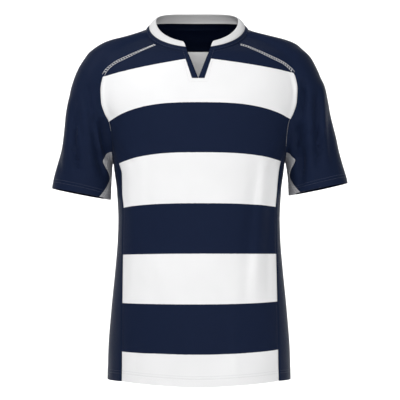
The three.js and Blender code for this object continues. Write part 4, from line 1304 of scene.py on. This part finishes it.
def sewn(name, runs, material, cloth):
    """A piece of sewing that goes with a panel."""
    piece = new_piece(name, thread_mesh(name, runs), material)
    SEWING.setdefault(cloth, []).append(piece)
    print(name, "faces", len(piece.data.polygons))
    return piece


SEWING = {}

# %% Flat seams along the raglan lines, front and back
def seam_line(face, sign, first, last):
    """The raglan seam between two steps, with the form's directions, on the sunk cloth."""
    keep = (STEPS >= first) & (STEPS <= last)
    points = SEAMS[face, sign][keep]
    points, away = along_line(points, unit(slope(points)), np.arange(0, line_length(points), 1.0))
    return points - away * (SEAM_SINK - 0.45), away


FLAT_WIDTH, EDGE_RADIUS, EDGE_LIFT = 5.4, 0.3, 0.1 + SEAM_SINK * 0.4
CROSS_INSET, CROSS_PITCH, CROSS_RADIUS, CROSS_SLANT = 0.4, 5.4, 0.66, 2.6


def flat_seam(points, away):
    """A thread along each edge of the band, and slanting threads that cross it between them."""
    edges = [solid_thread(points, away, side * FLAT_WIDTH / 2, EDGE_RADIUS, EDGE_LIFT) for side in (-1, 1)]
    across = cross_threads(points, away, FLAT_WIDTH - CROSS_INSET, CROSS_PITCH, CROSS_RADIUS, CROSS_SLANT)
    return edges + [across]


FLAT_ENDS = {(-1, -1): 4.6, (-1, 1): 4.35, (1, -1): 1.9, (1, 1): 1.9}
for (face, sign), last in FLAT_ENDS.items():
    side, way = ("right" if sign < 0 else "left"), ("front" if face < 0 else "back")
    sewn(f"flat_seam_{way}_{side}", flat_seam(*seam_line(face, sign, 0.03, last)), PALE_THREAD,
         "sleeve_" + side)

# %% Below the flat seams, a line of stitches beside each armhole seam
def armhole_stitches(face, sign, first, last):
    """Stitches 2 mm from the seam on the body's side, from one step to another."""
    keep = (STEPS >= first) & (STEPS <= last)
    points = SEAMS[face, sign][keep]
    away = unit(slope(points))
    inward = unit(np.cross(np.gradient(points, axis=0), away))
    inward *= -np.sign(inward[:, :1] * sign)
    return stitches(onto(points + inward * 2), away, radius=0.28, lift=0.2)


STITCH_ENDS = {-1: 10.2, 1: 11.5}
for side, sign in (("right", -1), ("left", 1)):
    last = STITCH_ENDS[sign]
    runs = [armhole_stitches(face, sign, FLAT_ENDS[face, sign], last) for face in (-1, 1)]
    sewn("armhole_stitches_" + side, runs, WHITE_THREAD, "sleeve_" + side)

# %% Twin lines of stitches along the hem and the cuffs
for name, cut in PANELS.items():
    cloth = CLOTHS[name]
    runs = []
    for line in cut["hem"][1]:
        points, away = line_at(cloth, cloth["v"] - cloth["v"][-1:], -line)
        runs.append(stitches(points, away))
    pale = cut["slot"] == "hooped_cloth"
    thread = WHITE_THREAD if pale else PALE_THREAD if cut["slot"] == "grey_insert" else NAVY_THREAD
    sewn("hem_stitches_" + name, runs, thread, name)

# %% The stitched line round the V
def v_stitches():
    """Down both sides of the V, 6 mm outside the strips, and across 7 mm below them."""
    corner_z = V_POINT_Z - 7
    share = np.linspace(0, 1, 40)
    halves = mix(28, 18.7, share)
    z = mix(-91, corner_z, share)
    down = [on_face(-1, V_CENTRE + sign * halves, z) for sign in (-1, 1)]
    x = np.linspace(-halves[-1], halves[-1], 20) + V_CENTRE
    across = on_face(-1, x, np.full(x.shape, float(corner_z)))
    lines = [down[0], across, down[1]]
    return [stitches(p, unit(slope(p)), radius=0.2, lift=0.0) for p in lines]


sewn("v_stitches", v_stitches(), WHITE_THREAD, "front_panel")

# %% Edge stitches of the strips, the neck trim and the underarm inserts
for sign, side in ((-1, "right"), (1, "left")):
    strip = STRIPS[sign]
    column = np.searchsorted(STRIP_ACROSS, 0.86)
    run = stitches(strip["outer"][:, column], strip["away"][:, column], radius=0.2, lift=0.05)
    sewn("strip_stitches_" + side, [run], NAVY_THREAD, "placket_strip_" + side)
    insert = CLOTHS["underarm_insert_" + side]
    runs = []
    for column in (5, -6):
        runs.append(stitches(insert["outer"][2:, column], insert["away"][2:, column], radius=0.24, lift=0.1))
    sewn("insert_stitches_" + side, runs, PALE_THREAD, "underarm_insert_" + side)
trim_row = np.searchsorted(TRIM_ROWS, 0.2)
runs = [stitches(TRIM[row], TRIM_OUT[row], radius=0.2, lift=0.05) for row in (trim_row, -3)]
sewn("trim_stitches", runs, NAVY_THREAD, "neck_trim")

# %% A loop over the placket strips' names, which does nothing with them
for side in ("right", "left"):
    name = "placket_strip_" + side

# %% [markdown]
# ## Camera, light and floor
# The photograph looks level at the shirt's front from below its middle, about two metres away, and
# the lens is raised to frame it. The key light stands high to the left. A front and a fill light open
# the shadows, a small one above catches the shoulders, and two light the wall behind. The floor is
# plain and pale.

# %% Camera
SENSOR, PICTURE_PIXELS, FOCAL_PIXELS = 36, 400, 955
RAISED_LENS = 0.125
EYE = (0.002, -2.0, -0.467)
scene = bpy.context.scene
camera_data = bpy.data.cameras.new("camera")
camera_data.sensor_width = SENSOR
camera_data.lens = FOCAL_PIXELS / PICTURE_PIXELS * SENSOR
camera_data.shift_y = RAISED_LENS
camera = bpy.data.objects.new("camera", camera_data)
scene.collection.objects.link(camera)
camera.location = EYE
camera.rotation_euler = (np.radians(90), 0, 0)
scene.camera = camera

# %% Lights
ROOM_LIGHT = 0.28


def soft_light(name, place, aim, size, watts):
    """A square area light at place, turned to face aim."""
    data = bpy.data.lights.new(name, "AREA")
    data.shape = "SQUARE"
    data.size, data.energy = size, watts
    light = bpy.data.objects.new(name, data)
    light.location = place
    light.rotation_euler = (Vector(aim) - Vector(place)).to_track_quat("-Z", "Y").to_euler()
    scene.collection.objects.link(light)


soft_light("key", (-1.5, -2.0, 1.2), (0, 0, -0.35), 1.2, 16.5)
soft_light("front", (0.1, -2.4, -0.4), (0, 0, -0.45), 0.8, 18.5)
soft_light("fill", (1.7, -1.9, 0.1), (0, 0, -0.4), 1.2, 12)
soft_light("top", (-0.75, -0.6, 1.0), (-0.1, 0, -0.1), 0.6, 10)
for side in (-1, 1):
    soft_light("backdrop", (side * 1.7, 0.5, 0.3), (side * 1.3, 3.2, -0.6), 1.6, 70)
world = bpy.data.worlds.new("studio")
world.use_nodes = True
world.node_tree.nodes["Background"].inputs[0].default_value = (1, 1, 1, 1)
world.node_tree.nodes["Background"].inputs[1].default_value = ROOM_LIGHT
scene.world = world
scene.view_settings.view_transform = "Standard"

# %% A floor that runs up into the wall
FLOOR_REACH, FLOOR_Z, WALL_PLACE, WALL_TOP = 6.0, -0.95, 3.5, 5.0


def studio_floor():
    """A profile carried sideways: flat, a quarter circle of 1 m, then straight up."""
    turn = np.linspace(0, np.pi / 2, 24)
    y = np.concatenate([[-FLOOR_REACH], WALL_PLACE - 1 + np.sin(turn), [WALL_PLACE]])
    z = np.concatenate([[0.0], 1 - np.cos(turn), [WALL_TOP]]) + FLOOR_Z
    x = np.linspace(-FLOOR_REACH, FLOOR_REACH, 9)
    grid = np.stack(np.broadcast_arrays(x, y[:, None], z[:, None]), -1)
    number = np.arange(len(y) * len(x)).reshape(len(y), len(x))
    faces = np.stack([number[:-1, :-1], number[:-1, 1:], number[1:, 1:], number[1:, :-1]], -1)
    mesh = bpy.data.meshes.new("floor")
    mesh.from_pydata(grid.reshape(-1, 3).tolist(), [], faces.reshape(-1, 4).tolist())
    mesh.shade_smooth()
    floor = bpy.data.objects.new("floor", mesh)
    scene.collection.objects.link(floor)
    paper = bpy.data.materials.new("pale_paper")
    paper.use_nodes = True
    shader = paper.node_tree.nodes["Principled BSDF"]
    shader.inputs["Base Color"].default_value = (0.95, 0.95, 0.95, 1)
    shader.inputs["Roughness"].default_value = 0.9
    mesh.materials.append(paper)
    floor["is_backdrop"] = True


studio_floor()

# %% Print the sizes and finish
visual_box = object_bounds()
boxes = {"cad": cad_box, "visual": visual_box}
boxes = {name: [[float(v) for v in corner] for corner in box] for name, box in boxes.items()}
print("CAD box and visual box", boxes)
